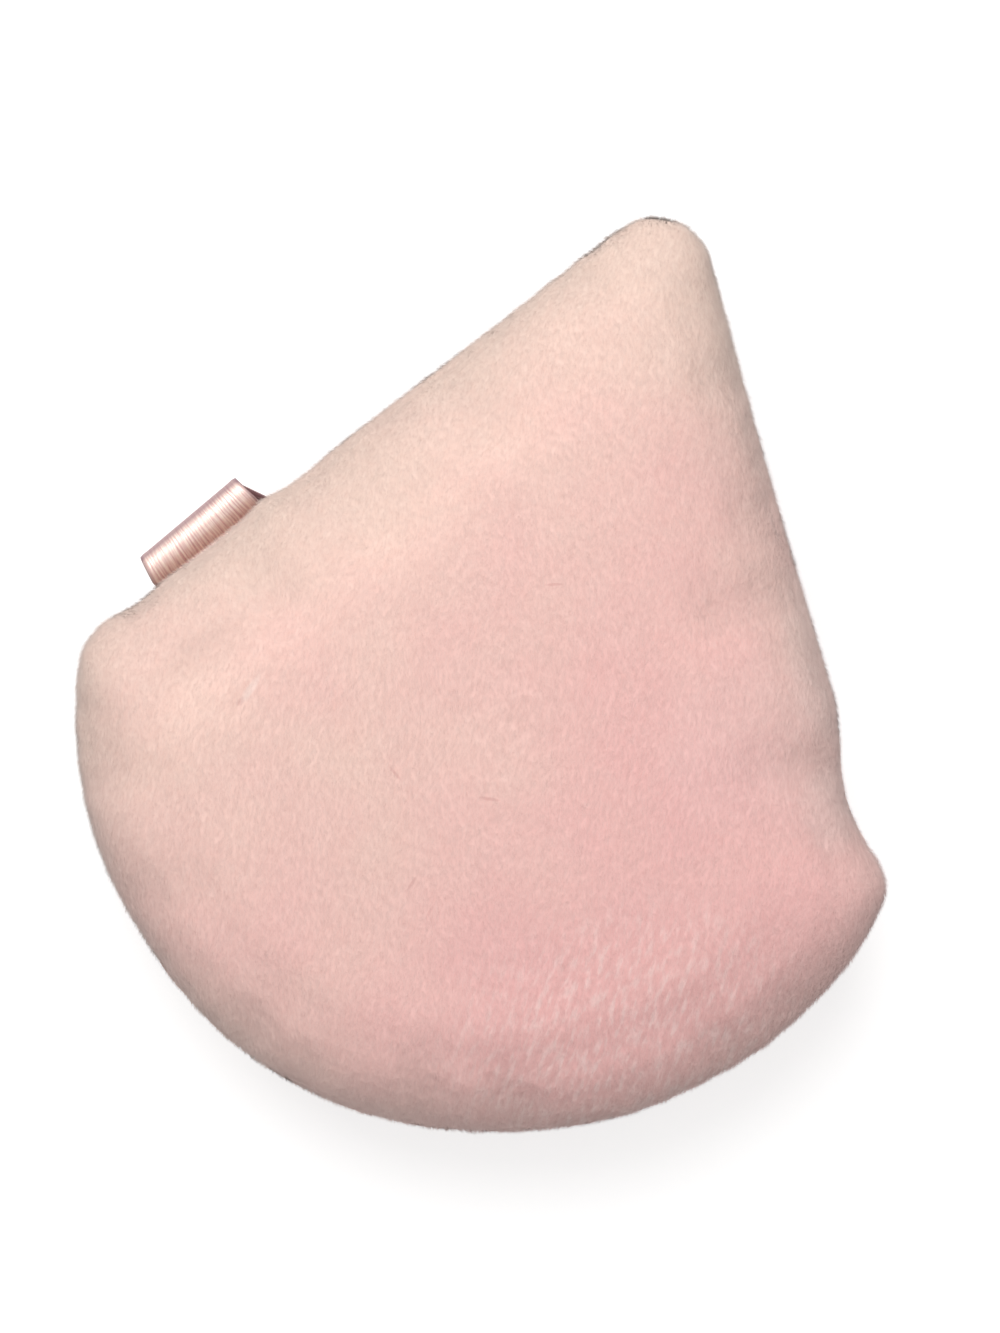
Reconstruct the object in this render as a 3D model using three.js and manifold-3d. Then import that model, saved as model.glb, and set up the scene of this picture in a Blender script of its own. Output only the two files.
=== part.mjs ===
// A drop-shaped powder puff: two velour covers sewn face to face and turned right side out,
// the foam core between them, a satin finger strap whose ends are sewn into both side seams,
// and the sewing threads.
// Millimetres. +Z is the way the powdering face looks, +Y points to the tip, and the puff lies
// on z = 0 with its strap pressed flat beneath it.

import * as THREE from 'three';
import { mergeVertices } from 'three/addons/utils/BufferGeometryUtils.js';
import Module from 'manifold-3d';

// The plan, seen from above. The straight sides run from the round tip to meet the round base
// at cornerHeight, and their corners there are rounded off.
const puffLength = 75;
const tipRadius = 4.8;
const baseRadius = 33.8;
const baseShift = 0.8;
const cornerHeight = 29.9;
const cornerRadius = 6;

// The seam drawn in where the strap pulls on it
const rightPinchDepth = 1.5;
const leftPinchDepth = 0.3;
const pinchReach = 9;

// The stuffed section, from the seam to the crown of either face
const crownHeight = 10;
const rollWidth = 19;
const fullnessPower = 2.2;
const flatDepth = 0.5;

// Free room kept between neighbouring pieces, the two covers included
const clearance = 0.3;

// The covers: their rolled lips at the seam, and the seam allowance turned inward
const coverThickness = 1.4;
const lipHeight = 1.4;
const seamGrooveDepth = 1;
const allowanceWidth = 6.5;
const allowanceThickness = 0.9;

// The satin strap
const strapWidth = 9.8;
const strapThickness = 0.35;
const strapAboveBaseLeft = 39;
const strapAboveBaseRight = 36.6;
const strapTuck = 3.4;
const strapOverhang = 3;
const foldRadius = 0.75;
const strapTurnRadius = 0.65;
const pressShoulder = 2.5;
const pressRamp = 2.5;

// The threads
const threadDiameter = 0.3;
const turningGap = 42;
const ladderStitchLength = 3;

// How far a cutting shape runs on past the face that it cuts
const overrun = 0.8;

// Counts of steps round the plan and up the section
const tipSteps = 8;
const sideSteps = 15;
const cornerSteps = 4;
const baseSteps = 24;
const outerRings = 8;
const innerRings = 5;
const lipSteps = 2;
const strapColumns = 4;
const strapRows = 22;
const foldSteps = 6;
const turnSteps = 3;
const threadSides = 6;
const seamThreadSteps = 90;
const stepsPerLadderStitch = 4;

// Where the strap first lies against the back on each side, as an angle up the section
const leftContactAngle = THREE.MathUtils.degToRad(15);
const rightContactAngle = 0;

// Sizes worked out from those above
const halfSeam = clearance / 2;
const floorDepth = crownHeight - flatDepth;
const allowanceTop = halfSeam + allowanceThickness;
const threadRadius = threadDiameter / 2;
const strapStandoff = clearance + strapThickness / 2;
const quarterTurn = Math.PI / 2;
const nudgeShare = 0.01;
const clampShare = (value) => THREE.MathUtils.clamp(value, 0, 1);

// Materials, with the colours seen in daylight
const material = (color, roughness) => new THREE.MeshStandardMaterial({ color, roughness, metalness: 0 });
const velour = material('#f2c9be', 0.95);
const velourBack = material('#eec2b8', 0.95);
const foam = material('#f6efe4', 0.9);
const satin = material('#e2b3ad', 0.35);
const thread = material('#e9bdb6', 0.6);

// A point at a distance from a centre. Angles here run counter-clockwise from straight down.
function around(centre, radius, angle) {
  return new THREE.Vector2(centre.x + radius * Math.sin(angle), centre.y - radius * Math.cos(angle));
}

// Points of an arc, without its last one
function arc(centre, radius, from, to, steps) {
  const angleAt = (i) => THREE.MathUtils.lerp(from, to, i / steps);
  return Array.from({ length: steps }, (_, i) => around(centre, radius, angleAt(i)));
}

// Points of a straight line, without its last one
function line(from, to, steps) {
  return Array.from({ length: steps }, (_, i) => from.clone().lerp(to, i / steps));
}

const tipCentre = new THREE.Vector2(0, puffLength - tipRadius);
const baseCentre = new THREE.Vector2(-baseShift, baseRadius);

// The lean of a straight side from the middle line, so that it touches the tip's arc and would
// meet the base at the corner's height
function leanOfSides() {
  const halfWidth = Math.sqrt(baseRadius ** 2 - (cornerHeight - baseRadius) ** 2);
  const drop = tipCentre.y - cornerHeight;
  return Math.atan2(halfWidth, drop) - Math.asin(tipRadius / Math.hypot(halfWidth, drop));
}

const sideAngle = leanOfSides();

// The centre of the corner arc that touches both a straight side and the round base.
// hand is 1 on the right and -1 on the left.
function cornerCentre(hand) {
  const outward = new THREE.Vector2(hand * Math.cos(sideAngle), Math.sin(sideAngle));
  const downward = new THREE.Vector2(hand * Math.sin(sideAngle), -Math.cos(sideAngle));
  const start = tipCentre.clone().addScaledVector(outward, tipRadius - cornerRadius);
  const toStart = start.clone().sub(baseCentre);
  const along = toStart.dot(downward);
  const reach = baseRadius - cornerRadius;
  const travel = -along + Math.sqrt(along * along - toStart.lengthSq() + reach * reach);
  return start.addScaledVector(downward, travel);
}

// The seam line before the strap pulls on it, counter-clockwise from the middle of the base,
// with y = 0 at the base and the tip's middle line on x = 0
function restingOutline() {
  const right = cornerCentre(1);
  const left = cornerCentre(-1);
  const fromDown = (point) => Math.atan2(point.x - baseCentre.x, baseCentre.y - point.y);
  const rightSide = quarterTurn + sideAngle;
  const leftSide = 3 * quarterTurn - sideAngle;
  const fullTurn = 4 * quarterTurn;
  const leftCorner = fullTurn + fromDown(left);
  return [
    ...arc(baseCentre, baseRadius, 0, fromDown(right), baseSteps / 2),
    ...arc(right, cornerRadius, fromDown(right), rightSide, cornerSteps),
    ...line(around(right, cornerRadius, rightSide), around(tipCentre, tipRadius, rightSide), sideSteps),
    ...arc(tipCentre, tipRadius, rightSide, leftSide, tipSteps),
    ...line(around(tipCentre, tipRadius, leftSide), around(left, cornerRadius, leftSide), sideSteps),
    ...arc(left, cornerRadius, leftSide, leftCorner, cornerSteps),
    ...arc(baseCentre, baseRadius, leftCorner, fullTurn, baseSteps / 2),
  ];
}

// The outward direction at each point of a closed outline
function outwardNormals(outline) {
  return outline.map((_, i) => {
    const before = outline.at(i - 1);
    const after = outline[(i + 1) % outline.length];
    return new THREE.Vector2(after.y - before.y, before.x - after.x).normalize();
  });
}

// The outline moved inward by an even distance
function inset(outline, distance) {
  const normals = outwardNormals(outline);
  return outline.map((point, i) => point.clone().addScaledVector(normals[i], -distance));
}

// How strongly the strap pulls at a height above the base, from 0 to 1
function pullShare(y, strapHeight) {
  const away = clampShare(Math.abs(y - strapHeight) / Math.cos(sideAngle) / pinchReach);
  return (1 + Math.cos(Math.PI * away)) / 2;
}

// The seam line with both pinches
function seamOutline() {
  const outline = restingOutline();
  const normals = outwardNormals(outline);
  return outline.map((point, i) => {
    const depth = point.x > 0
      ? rightPinchDepth * pullShare(point.y, strapAboveBaseRight)
      : leftPinchDepth * pullShare(point.y, strapAboveBaseLeft);
    return point.clone().addScaledVector(normals[i], -depth);
  });
}

const seam = seamOutline();
const seamLeft = Math.min(...seam.map((point) => point.x));
const seamRight = Math.max(...seam.map((point) => point.x));

// The middle of the strap on its way across, at a place from left to right
function strapMiddle(x) {
  return THREE.MathUtils.mapLinear(x, seamLeft, seamRight, strapAboveBaseLeft, strapAboveBaseRight);
}

// How deep the strap presses into the back at a point of the plan
function pressedDepth(x, y) {
  const past = Math.abs(y - strapMiddle(x)) - strapWidth / 2 - pressShoulder;
  return (strapThickness + clearance) * (1 - clampShare(past / pressRamp));
}

// The edge line of the back, drawn in under the strap where it is taut, on the right
function backOutline() {
  const normals = outwardNormals(seam);
  return seam.map((point, i) => {
    const depth = point.x > 0 ? pressedDepth(point.x, point.y) : 0;
    return point.clone().addScaledVector(normals[i], -depth);
  });
}

const backEdge = backOutline();
const edgeOf = (sign) => (sign > 0 ? seam : backEdge);

// A softened distance from a point to the outline: it grows like the true distance near the
// edge, and evens out in the middle, so that a face swells without creases
function edgeDistance(point, outline) {
  let sum = 0;
  for (let i = 0; i < outline.length; i += 1) {
    const from = outline[i];
    const to = outline[(i + 1) % outline.length];
    const run = to.clone().sub(from);
    const length = run.length();
    const offset = point.clone().sub(from);
    const across = run.cross(offset) / length;
    const behind = run.dot(offset) / length;
    const ahead = length - behind;
    sum += (ahead / Math.hypot(ahead, across) + behind / Math.hypot(behind, across)) / (across * across);
  }
  return Math.sqrt(2 / sum);
}

// How much of its full height a face has at a distance from the edge, from 0 to 1
function swellShare(distance, width) {
  const remaining = 1 - clampShare(distance / width);
  return (1 - remaining ** fullnessPower) ** (1 / fullnessPower);
}

// A face of the puff, or a layer inside it that keeps an even distance from that face: the
// cover's outer side, its inner side, or the skin of the core. sign is 1 on the front and -1
// on the back, which is pressed flat where the puff stands.
class Layer {
  constructor(sign, depthInside) {
    this.sign = sign;
    this.depthInside = depthInside;
    this.edge = edgeOf(sign);
    this.normals = outwardNormals(this.edge);
  }

  // Height over the seam plane at a point of the plan
  height(point, onEdge = false) {
    const swell = onEdge ? 0 : swellShare(edgeDistance(point, this.edge), rollWidth);
    const height = lipHeight + (crownHeight - lipHeight) * swell;
    return this.sign > 0 ? height : Math.min(height, floorDepth - pressedDepth(point.x, point.y));
  }

  // A point of the face. i counts round the seam, and angle runs from 0 at the edge to a quarter
  // turn at the crown.
  onFace(i, angle) {
    const point = baseCentre.clone().lerp(this.edge.at(i % this.edge.length), Math.cos(angle));
    return new THREE.Vector3(point.x, point.y, this.sign * this.height(point, angle === 0));
  }

  // The same point, moved straight in from the face
  at(i, angle) {
    const lower = Math.max(angle - nudgeShare, 0);
    const along = this.onFace(i, lower + 2 * nudgeShare).sub(this.onFace(i, lower));
    const sideways = this.onFace(i + 1, angle).sub(this.onFace(i - 1, angle));
    const outward = angle === 0
      ? new THREE.Vector3(this.normals[i].x, this.normals[i].y, 0)
      : sideways.cross(along).normalize().multiplyScalar(this.sign);
    return this.onFace(i, angle).addScaledVector(outward, -this.depthInside);
  }

  // The rings of the layer, from the edge to a single point at its crown
  rings(count) {
    const crown = this.sign * (this.height(baseCentre) - this.depthInside);
    return Array.from({ length: count + 1 }, (_, k) => {
      if (k === count) return [new THREE.Vector3(baseCentre.x, baseCentre.y, crown)];
      return this.edge.map((_, i) => this.at(i, quarterTurn * (k / count)));
    });
  }
}

const backFace = new Layer(-1, 0);

// A flat ring of points at one height
function level(outline, height) {
  return outline.map((point) => new THREE.Vector3(point.x, point.y, height));
}

// The seam line drawn straight toward the middle of the puff, as the allowance is cut
function towardMiddle(distance) {
  return seam.map((point) => {
    const share = 1 - distance / point.distanceTo(baseCentre);
    return baseCentre.clone().lerp(point, share);
  });
}

// Triangles as a geometry, turned so that its faces look outward
function facets(triangles) {
  const volume = triangles.reduce((sum, [a, b, c]) => sum + a.dot(b.clone().cross(c)), 0);
  const ordered = volume > 0 ? triangles : triangles.map(([a, b, c]) => [a, c, b]);
  return new THREE.BufferGeometry().setFromPoints(ordered.flat());
}

// The two triangles of a four-sided facet
const quad = (a, b, c, d) => [[a, b, c], [a, c, d]];

// A closed body over rings of points. A ring of one point is a pole. Without poles the last
// ring joins the first.
function loft(rings) {
  const joinsUp = rings[0].length > 1;
  const triangles = [];
  for (let k = 0; k < rings.length - (joinsUp ? 0 : 1); k += 1) {
    const lower = rings[k];
    const upper = rings[(k + 1) % rings.length];
    const count = Math.max(lower.length, upper.length);
    for (let i = 0; i < count; i += 1) {
      const next = (i + 1) % count;
      if (lower.length === 1) triangles.push([lower[0], upper[next], upper[i]]);
      else if (upper.length === 1) triangles.push([lower[i], lower[next], upper[0]]);
      else triangles.push(...quad(lower[i], lower[next], upper[next], upper[i]));
    }
  }
  return facets(triangles);
}

// A sheet of even thickness over a grid of points, rows by columns
function slab(grid, thickness) {
  const rows = grid.length;
  const columns = grid[0].length;
  const normal = (i, j) => {
    const down = grid[Math.min(i + 1, rows - 1)][j].clone().sub(grid[Math.max(i - 1, 0)][j]);
    const over = grid[i][Math.min(j + 1, columns - 1)].clone().sub(grid[i][Math.max(j - 1, 0)]);
    return down.cross(over).normalize();
  };
  const shifted = (distance) => grid.map((row, i) => row.map(
    (point, j) => point.clone().addScaledVector(normal(i, j), distance),
  ));
  const top = shifted(thickness / 2);
  const under = shifted(-thickness / 2);
  const triangles = [];
  for (let i = 0; i < rows - 1; i += 1) {
    for (let j = 0; j < columns - 1; j += 1) {
      triangles.push(...quad(top[i][j], top[i + 1][j], top[i + 1][j + 1], top[i][j + 1]));
      triangles.push(...quad(under[i][j], under[i][j + 1], under[i + 1][j + 1], under[i + 1][j]));
    }
    const last = columns - 1;
    triangles.push(...quad(top[i][0], under[i][0], under[i + 1][0], top[i + 1][0]));
    triangles.push(...quad(top[i][last], top[i + 1][last], under[i + 1][last], under[i][last]));
  }
  for (let j = 0; j < columns - 1; j += 1) {
    const end = rows - 1;
    triangles.push(...quad(top[0][j], top[0][j + 1], under[0][j + 1], under[0][j]));
    triangles.push(...quad(top[end][j], under[end][j], under[end][j + 1], top[end][j + 1]));
  }
  return facets(triangles);
}

// A round thread along a list of points
function strand(points, steps) {
  const corners = Array.from({ length: threadSides }, (_, i) => {
    const angle = (2 * Math.PI * i) / threadSides;
    return new THREE.Vector2(threadRadius * Math.cos(angle), threadRadius * Math.sin(angle));
  });
  return new THREE.ExtrudeGeometry(new THREE.Shape(corners), {
    steps,
    extrudePath: new THREE.CatmullRomCurve3(points),
    bevelEnabled: false,
  });
}

// Joining and cutting of closed solids
const wasm = await Module();
wasm.setup();

function toSolid(geometry) {
  const bare = geometry.clone();
  bare.deleteAttribute('normal');
  bare.deleteAttribute('uv');
  const merged = mergeVertices(bare);
  return new wasm.Manifold(new wasm.Mesh({
    numProp: 3,
    vertProperties: new Float32Array(merged.attributes.position.array),
    triVerts: new Uint32Array(merged.index.array),
  }));
}

function toGeometry(solid) {
  const mesh = solid.getMesh();
  const geometry = new THREE.BufferGeometry();
  geometry.setAttribute('position', new THREE.BufferAttribute(mesh.vertProperties, mesh.numProp));
  geometry.setIndex(new THREE.BufferAttribute(mesh.triVerts, 1));
  return geometry;
}

function cut(geometry, ...tools) {
  const solid = tools.reduce((rest, tool) => rest.subtract(toSolid(tool)), toSolid(geometry));
  return toGeometry(solid);
}

// Where the back's edge line crosses a height above the base, on the right, where it climbs to
// the tip, or on the left, where it comes down again
function edgeX(hand, y) {
  const i = backEdge.findIndex((from, k) => {
    const to = backEdge[(k + 1) % backEdge.length];
    return hand * from.y <= hand * y && hand * y < hand * to.y;
  });
  const from = backEdge[i];
  const to = backEdge[(i + 1) % backEdge.length];
  return THREE.MathUtils.mapLinear(y, from.y, to.y, from.x, to.x);
}

// A point where the strap leaves the seam. hand is the side, share runs from -1 at the strap's
// edge nearer the base to 1 at the edge nearer the tip, out is the distance past the back's
// edge line and height is measured from the seam plane.
function strapExit(hand, share, out, height, halfWidth = strapWidth / 2) {
  const middle = hand > 0 ? strapAboveBaseRight : strapAboveBaseLeft;
  const y = middle + share * halfWidth * Math.cos(sideAngle);
  return new THREE.Vector3(
    edgeX(hand, y) + hand * out * Math.cos(sideAngle),
    y + out * Math.sin(sideAngle),
    height,
  );
}

// A point of the back's outer face under the strap. angle is 0 at the left seam, a quarter turn
// in the middle and a half turn at the right seam.
function underStrap(angle, share) {
  const hand = angle < quarterTurn ? -1 : 1;
  const edge = strapExit(hand, share, 0, 0);
  const x = THREE.MathUtils.lerp(baseCentre.x, edge.x, Math.abs(Math.cos(angle)));
  const reach = THREE.MathUtils.lerp(Math.cos(sideAngle), 1, Math.sin(angle));
  const y = THREE.MathUtils.lerp(
    edge.y,
    strapMiddle(baseCentre.x) + share * reach * strapWidth / 2,
    Math.sin(angle),
  );
  const onEdge = Math.abs(Math.cos(angle)) === 1;
  return new THREE.Vector3(x, y, -backFace.height(new THREE.Vector2(x, y), onEdge));
}

// The same point lifted off the back by the strap's standoff
function strapOnBack(angle, share) {
  const nearer = THREE.MathUtils.clamp(angle, nudgeShare, Math.PI - nudgeShare);
  const along = underStrap(nearer + nudgeShare, share).sub(underStrap(nearer - nudgeShare, share));
  const across = underStrap(nearer, share + nudgeShare).sub(underStrap(nearer, share - nudgeShare));
  const outward = across.cross(along).normalize();
  return underStrap(angle, share).addScaledVector(outward, strapStandoff);
}

// One line of the strap's middle surface, from its sewn left end to its sewn right end: out
// of the left seam, round the slack fold, in against the back, across it, and up to the right
function strapLine(share) {
  const foldOut = strapOverhang - foldRadius - strapThickness / 2;
  const turnOut = strapStandoff - strapTurnRadius;
  const fold = Array.from({ length: foldSteps + 1 }, (_, i) => {
    const angle = THREE.MathUtils.lerp(quarterTurn, -quarterTurn, i / foldSteps);
    const out = foldOut + foldRadius * Math.cos(angle);
    return strapExit(-1, share, out, foldRadius * Math.sin(angle) - foldRadius);
  });
  const resting = Array.from({ length: strapRows + 1 }, (_, i) => {
    const angle = THREE.MathUtils.lerp(leftContactAngle, Math.PI - rightContactAngle, i / strapRows);
    return strapOnBack(angle, share);
  });
  const turn = Array.from({ length: turnSteps + 1 }, (_, i) => {
    const angle = THREE.MathUtils.lerp(0, quarterTurn, i / turnSteps);
    const out = turnOut + strapTurnRadius * Math.cos(angle);
    return strapExit(1, share, out, strapTurnRadius * Math.sin(angle) - strapTurnRadius);
  });
  return [
    strapExit(-1, share, -strapTuck, 0),
    strapExit(-1, share, -seamGrooveDepth, 0),
    ...fold,
    ...resting,
    ...turn,
    strapExit(1, share, -seamGrooveDepth, 0),
    strapExit(1, share, -strapTuck, 0),
  ];
}

// Evenly spread shares across the strap, from -1 to 1
const strapShares = Array.from({ length: strapColumns + 1 }, (_, j) => (2 * j) / strapColumns - 1);

function strapGeometry() {
  const lines = strapShares.map(strapLine);
  const grid = lines[0].map((_, i) => lines.map((points) => points[i]));
  return slab(grid, strapThickness);
}

// The pocket in the seam that holds one end of the strap
function strapPocket(hand) {
  const halfWidth = strapWidth / 2 + clearance / Math.cos(sideAngle);
  const outerEnd = strapThickness + clearance + overrun;
  const grid = [-allowanceWidth - overrun, 0, outerEnd].map((out) => strapShares.map(
    (share) => strapExit(hand, share, out, 0, halfWidth),
  ));
  return slab(grid, strapThickness + 2 * clearance);
}

// The rounded lip of a cover, as a distance in from the seam line and a height over the seam
// plane. angle is 0 at the cover's widest line and a quarter turn at the bottom of the groove.
function lipOutline(angle) {
  return {
    depth: seamGrooveDepth * (1 - Math.cos(angle)),
    height: lipHeight - (lipHeight - halfSeam) * Math.sin(angle),
  };
}

function lipRings(sign) {
  return Array.from({ length: lipSteps }, (_, i) => {
    const { depth, height } = lipOutline(quarterTurn * ((i + 1) / lipSteps));
    return level(inset(edgeOf(sign), depth), sign * height);
  });
}

// One cover: outer face from the crown to the lip, the turned-in allowance, and the inner face
function coverGeometry(sign) {
  const allowanceEdge = towardMiddle(allowanceWidth);
  const shell = loft([
    ...new Layer(sign, 0).rings(outerRings).reverse(),
    ...lipRings(sign),
    level(allowanceEdge, sign * halfSeam),
    level(allowanceEdge, sign * allowanceTop),
    ...new Layer(sign, coverThickness).rings(innerRings),
  ]);
  return cut(shell, strapPocket(-1), strapPocket(1));
}

// The core fills the covers, with a slot round its edge for the allowances and their stitching
function coreGeometry() {
  const slotHalfHeight = lipHeight + threadDiameter + 2 * clearance;
  const slotBottom = towardMiddle(allowanceWidth + clearance);
  const skinDepth = coverThickness + clearance;
  const block = loft([
    ...new Layer(1, skinDepth).rings(innerRings).reverse(),
    ...new Layer(-1, skinDepth).rings(innerRings),
  ]);
  const slot = loft([
    level(seam, slotHalfHeight),
    level(slotBottom, slotHalfHeight),
    level(slotBottom, -slotHalfHeight),
    level(seam, -slotHalfHeight),
  ]);
  return cut(block, slot);
}

// Places along an outline, by their distance counter-clockwise from the middle of the base
function measured(outline) {
  const marks = [0];
  outline.forEach((point, i) => marks.push(marks[i] + point.distanceTo(outline[(i + 1) % outline.length])));
  const total = marks.at(-1);
  const at = (distance) => {
    const place = THREE.MathUtils.euclideanModulo(distance, total);
    const i = Math.max(marks.findIndex((mark) => mark > place) - 1, 0);
    const share = (place - marks[i]) / (marks[i + 1] - marks[i]);
    return outline[i].clone().lerp(outline[(i + 1) % outline.length], share);
  };
  return { total, at };
}

// A thread of the machine seam, on the wrong side of one allowance. It starts and ends at the
// turning gap.
function seamThreadGeometry(sign) {
  const stitching = measured(inset(edgeOf(sign), coverThickness + 2 * clearance + threadRadius));
  const height = sign * (lipHeight + clearance + threadRadius);
  const points = Array.from({ length: seamThreadSteps + 1 }, (_, i) => {
    const place = THREE.MathUtils.lerp(turningGap / 2, stitching.total - turningGap / 2, i / seamThreadSteps);
    const { x, y } = stitching.at(place);
    return new THREE.Vector3(x, y, height);
  });
  return strand(points, seamThreadSteps);
}

// The ladder stitch that closes the turning gap, crossing from lip to lip in the seam groove
function closingThreadGeometry() {
  const groove = measured(inset(seam, threadRadius));
  const rungs = Math.round(turningGap / ladderStitchLength);
  const lipAngle = Math.acos(1 - 2 * threadRadius / seamGrooveDepth);
  const swing = 2 * (lipOutline(lipAngle).height - clearance - threadRadius);
  const points = Array.from({ length: rungs + 1 }, (_, i) => {
    const { x, y } = groove.at(THREE.MathUtils.lerp(-turningGap, turningGap, i / rungs) / 2);
    return new THREE.Vector3(x, y, (i % 2 ? swing : -swing) / 2);
  });
  return strand(points, rungs * stepsPerLadderStitch);
}

// The pieces, moved so that the puff stands on z = 0 with its middle over the origin
const puff = new THREE.Group();
const seamTop = Math.max(...seam.map((point) => point.y));
const seamBottom = Math.min(...seam.map((point) => point.y));
puff.position.set(-(seamLeft + seamRight) / 2, -(seamTop + seamBottom) / 2, floorDepth);

function addPiece(name, geometry, finish) {
  const mesh = new THREE.Mesh(geometry, finish);
  mesh.name = name;
  puff.add(mesh);
}

addPiece('front_cover', coverGeometry(1), velour);
addPiece('back_cover', coverGeometry(-1), velourBack);
addPiece('foam_core', coreGeometry(), foam);
addPiece('strap', strapGeometry(), satin);
addPiece('seam_needle_thread', seamThreadGeometry(1), thread);
addPiece('seam_bobbin_thread', seamThreadGeometry(-1), thread);
addPiece('closing_thread', closingThreadGeometry(), thread);

export default puff;
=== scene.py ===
"""Dresses a drop-shaped velour powder puff: covers, pile, foam core, finger strap and threads.

Sizes in the classes are millimetres. Every finished mesh is in metres, in the frame of the
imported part: +Z is the way the powdering face looks, +Y points to the tip.
"""

import logging
import math
from dataclasses import dataclass, field
from enum import Enum
from typing import Any, Sequence

import bpy
import numpy as np
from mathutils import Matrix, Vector
from mathutils.kdtree import KDTree

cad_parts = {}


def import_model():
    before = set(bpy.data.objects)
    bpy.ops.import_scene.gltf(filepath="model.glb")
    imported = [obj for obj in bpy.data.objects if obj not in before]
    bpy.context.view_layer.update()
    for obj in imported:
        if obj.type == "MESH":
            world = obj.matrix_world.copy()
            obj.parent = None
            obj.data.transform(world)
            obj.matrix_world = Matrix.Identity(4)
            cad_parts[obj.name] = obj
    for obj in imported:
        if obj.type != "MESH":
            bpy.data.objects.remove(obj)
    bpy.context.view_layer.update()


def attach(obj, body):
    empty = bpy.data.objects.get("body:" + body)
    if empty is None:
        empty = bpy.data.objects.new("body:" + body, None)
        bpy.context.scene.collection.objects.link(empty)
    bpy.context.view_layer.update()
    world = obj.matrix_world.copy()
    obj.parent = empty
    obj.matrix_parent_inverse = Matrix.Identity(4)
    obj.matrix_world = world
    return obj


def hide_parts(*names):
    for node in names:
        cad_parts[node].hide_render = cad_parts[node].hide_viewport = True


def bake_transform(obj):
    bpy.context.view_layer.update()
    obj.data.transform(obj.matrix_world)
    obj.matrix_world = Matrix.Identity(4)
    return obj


MM = 0.001
MAP_NAME = "OFBake"
QUARTER_TURN = math.pi / 2
FULL_TURN = 2 * math.pi
WHITE = (1.0, 1.0, 1.0, 1.0)
TINY = 1e-12
Points = np.ndarray
Faces = list[tuple[int, ...]]
Colour = tuple[float, float, float]
Socket = bpy.types.NodeSocket

logging.basicConfig(level=logging.INFO, format="%(message)s")
log = logging.getLogger("powder puff")


# --------------------------------------------------------------- objects and meshes


def link_object(name: str, data: bpy.types.ID) -> bpy.types.Object:
    """Makes an object round its data and puts it in the scene."""
    made = bpy.data.objects.new(name, data)
    bpy.context.scene.collection.objects.link(made)
    return made


def evaluated(holder: bpy.types.Object) -> bpy.types.Object:
    """The object as its modifiers leave it."""
    return holder.evaluated_get(bpy.context.evaluated_depsgraph_get())


def read_rows(source: Any, key: str) -> Points:
    """Reads three numbers for each item of a mesh's collection."""
    found = np.empty(len(source) * 3, np.float32)
    source.foreach_get(key, found)
    return found.reshape(-1, 3)


def set_map(mesh: bpy.types.Mesh, flat: Points) -> None:
    """Lays out a mesh's map, from one place for each vertex."""
    corners = np.empty(len(mesh.loops), np.int32)
    mesh.loops.foreach_get("vertex_index", corners)
    layer = mesh.uv_layers.new(name=MAP_NAME)
    layer.uv.foreach_set("vector", flat[corners].astype(np.float32).ravel())


def make_object(name: str, places: Points, faces: Sequence[Sequence[int]],
                material: bpy.types.Material | None = None) -> bpy.types.Object:
    """Makes a smooth-shaded mesh object.

    Args:
        name: The piece's name.
        places: Its vertices in millimetres.
        faces: Its faces, turned outward.
        material: Its finish, if it has one yet.

    Returns:
        The object, at the origin, in metres.
    """
    mesh = bpy.data.meshes.new(name)
    mesh.from_pydata((np.asarray(places) * MM).tolist(), [], [list(map(int, f)) for f in faces])
    mesh.polygons.foreach_set("use_smooth", [True] * len(mesh.polygons))
    mesh.update()
    if material is not None:
        mesh.materials.append(material)
    return link_object(name, mesh)


def ring_faces(counts: Sequence[int]) -> Faces:
    """Faces between successive rings of points, of which a ring of one point is a pole.

    Args:
        counts: How many points each ring has.

    Returns:
        The faces, by the points' numbers.
    """
    faces: Faces = []
    start = 0
    for count, following in zip(counts, counts[1:]):
        upper = start + count
        for i in range(max(count, following)):
            j = (i + 1) % max(count, following)
            if count == 1:
                faces.append((start, upper + j, upper + i))
            elif following == 1:
                faces.append((start + i, start + j, upper))
            else:
                faces.append((start + i, start + j, upper + j, upper + i))
        start = upper
    return faces


def outward(places: Points, faces: Faces) -> Faces:
    """The faces of a closed body, turned round if they look inward."""
    places = places - places.mean(0)
    volume = 0.0
    for a, *rest in faces:
        for b, c in zip(rest, rest[1:]):
            volume += float(np.dot(places[a], np.cross(places[b], places[c])))
    return faces if volume > 0 else [tuple(reversed(f)) for f in faces]


def lofted(rings: Sequence[Points]) -> tuple[Points, Faces]:
    """The points and the outward faces of a closed body through successive rings."""
    places = np.concatenate(rings)
    return places, outward(places, ring_faces([len(r) for r in rings]))


# ------------------------------------------------------------------------- lines


def smooth_share(value: Points | float, low: float, high: float) -> Points:
    """0 below low, 1 above high, and a smooth rise between them."""
    share = np.clip((np.asarray(value, float) - low) / (high - low), 0, 1)
    return share * share * (3 - 2 * share)


def unit(vectors: Points) -> Points:
    """The vectors at a length of 1."""
    return vectors / np.maximum(np.linalg.norm(vectors, axis=-1, keepdims=True), TINY)


def running_length(line: Points) -> Points:
    """How far along a line each of its points is."""
    return np.concatenate(([0], np.cumsum(np.linalg.norm(np.diff(line, axis=0), axis=1))))


def perimeter(line: Points) -> float:
    """The length of a closed line."""
    return float(np.linalg.norm(np.roll(line, -1, 0) - line, axis=1).sum())


def resampled(line: Points, marks: Points, wanted: Points) -> Points:
    """Points of a line at the wanted marks, from the mark that each of its points has."""
    return np.stack([np.interp(wanted, marks, part) for part in line.T], 1)


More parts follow.
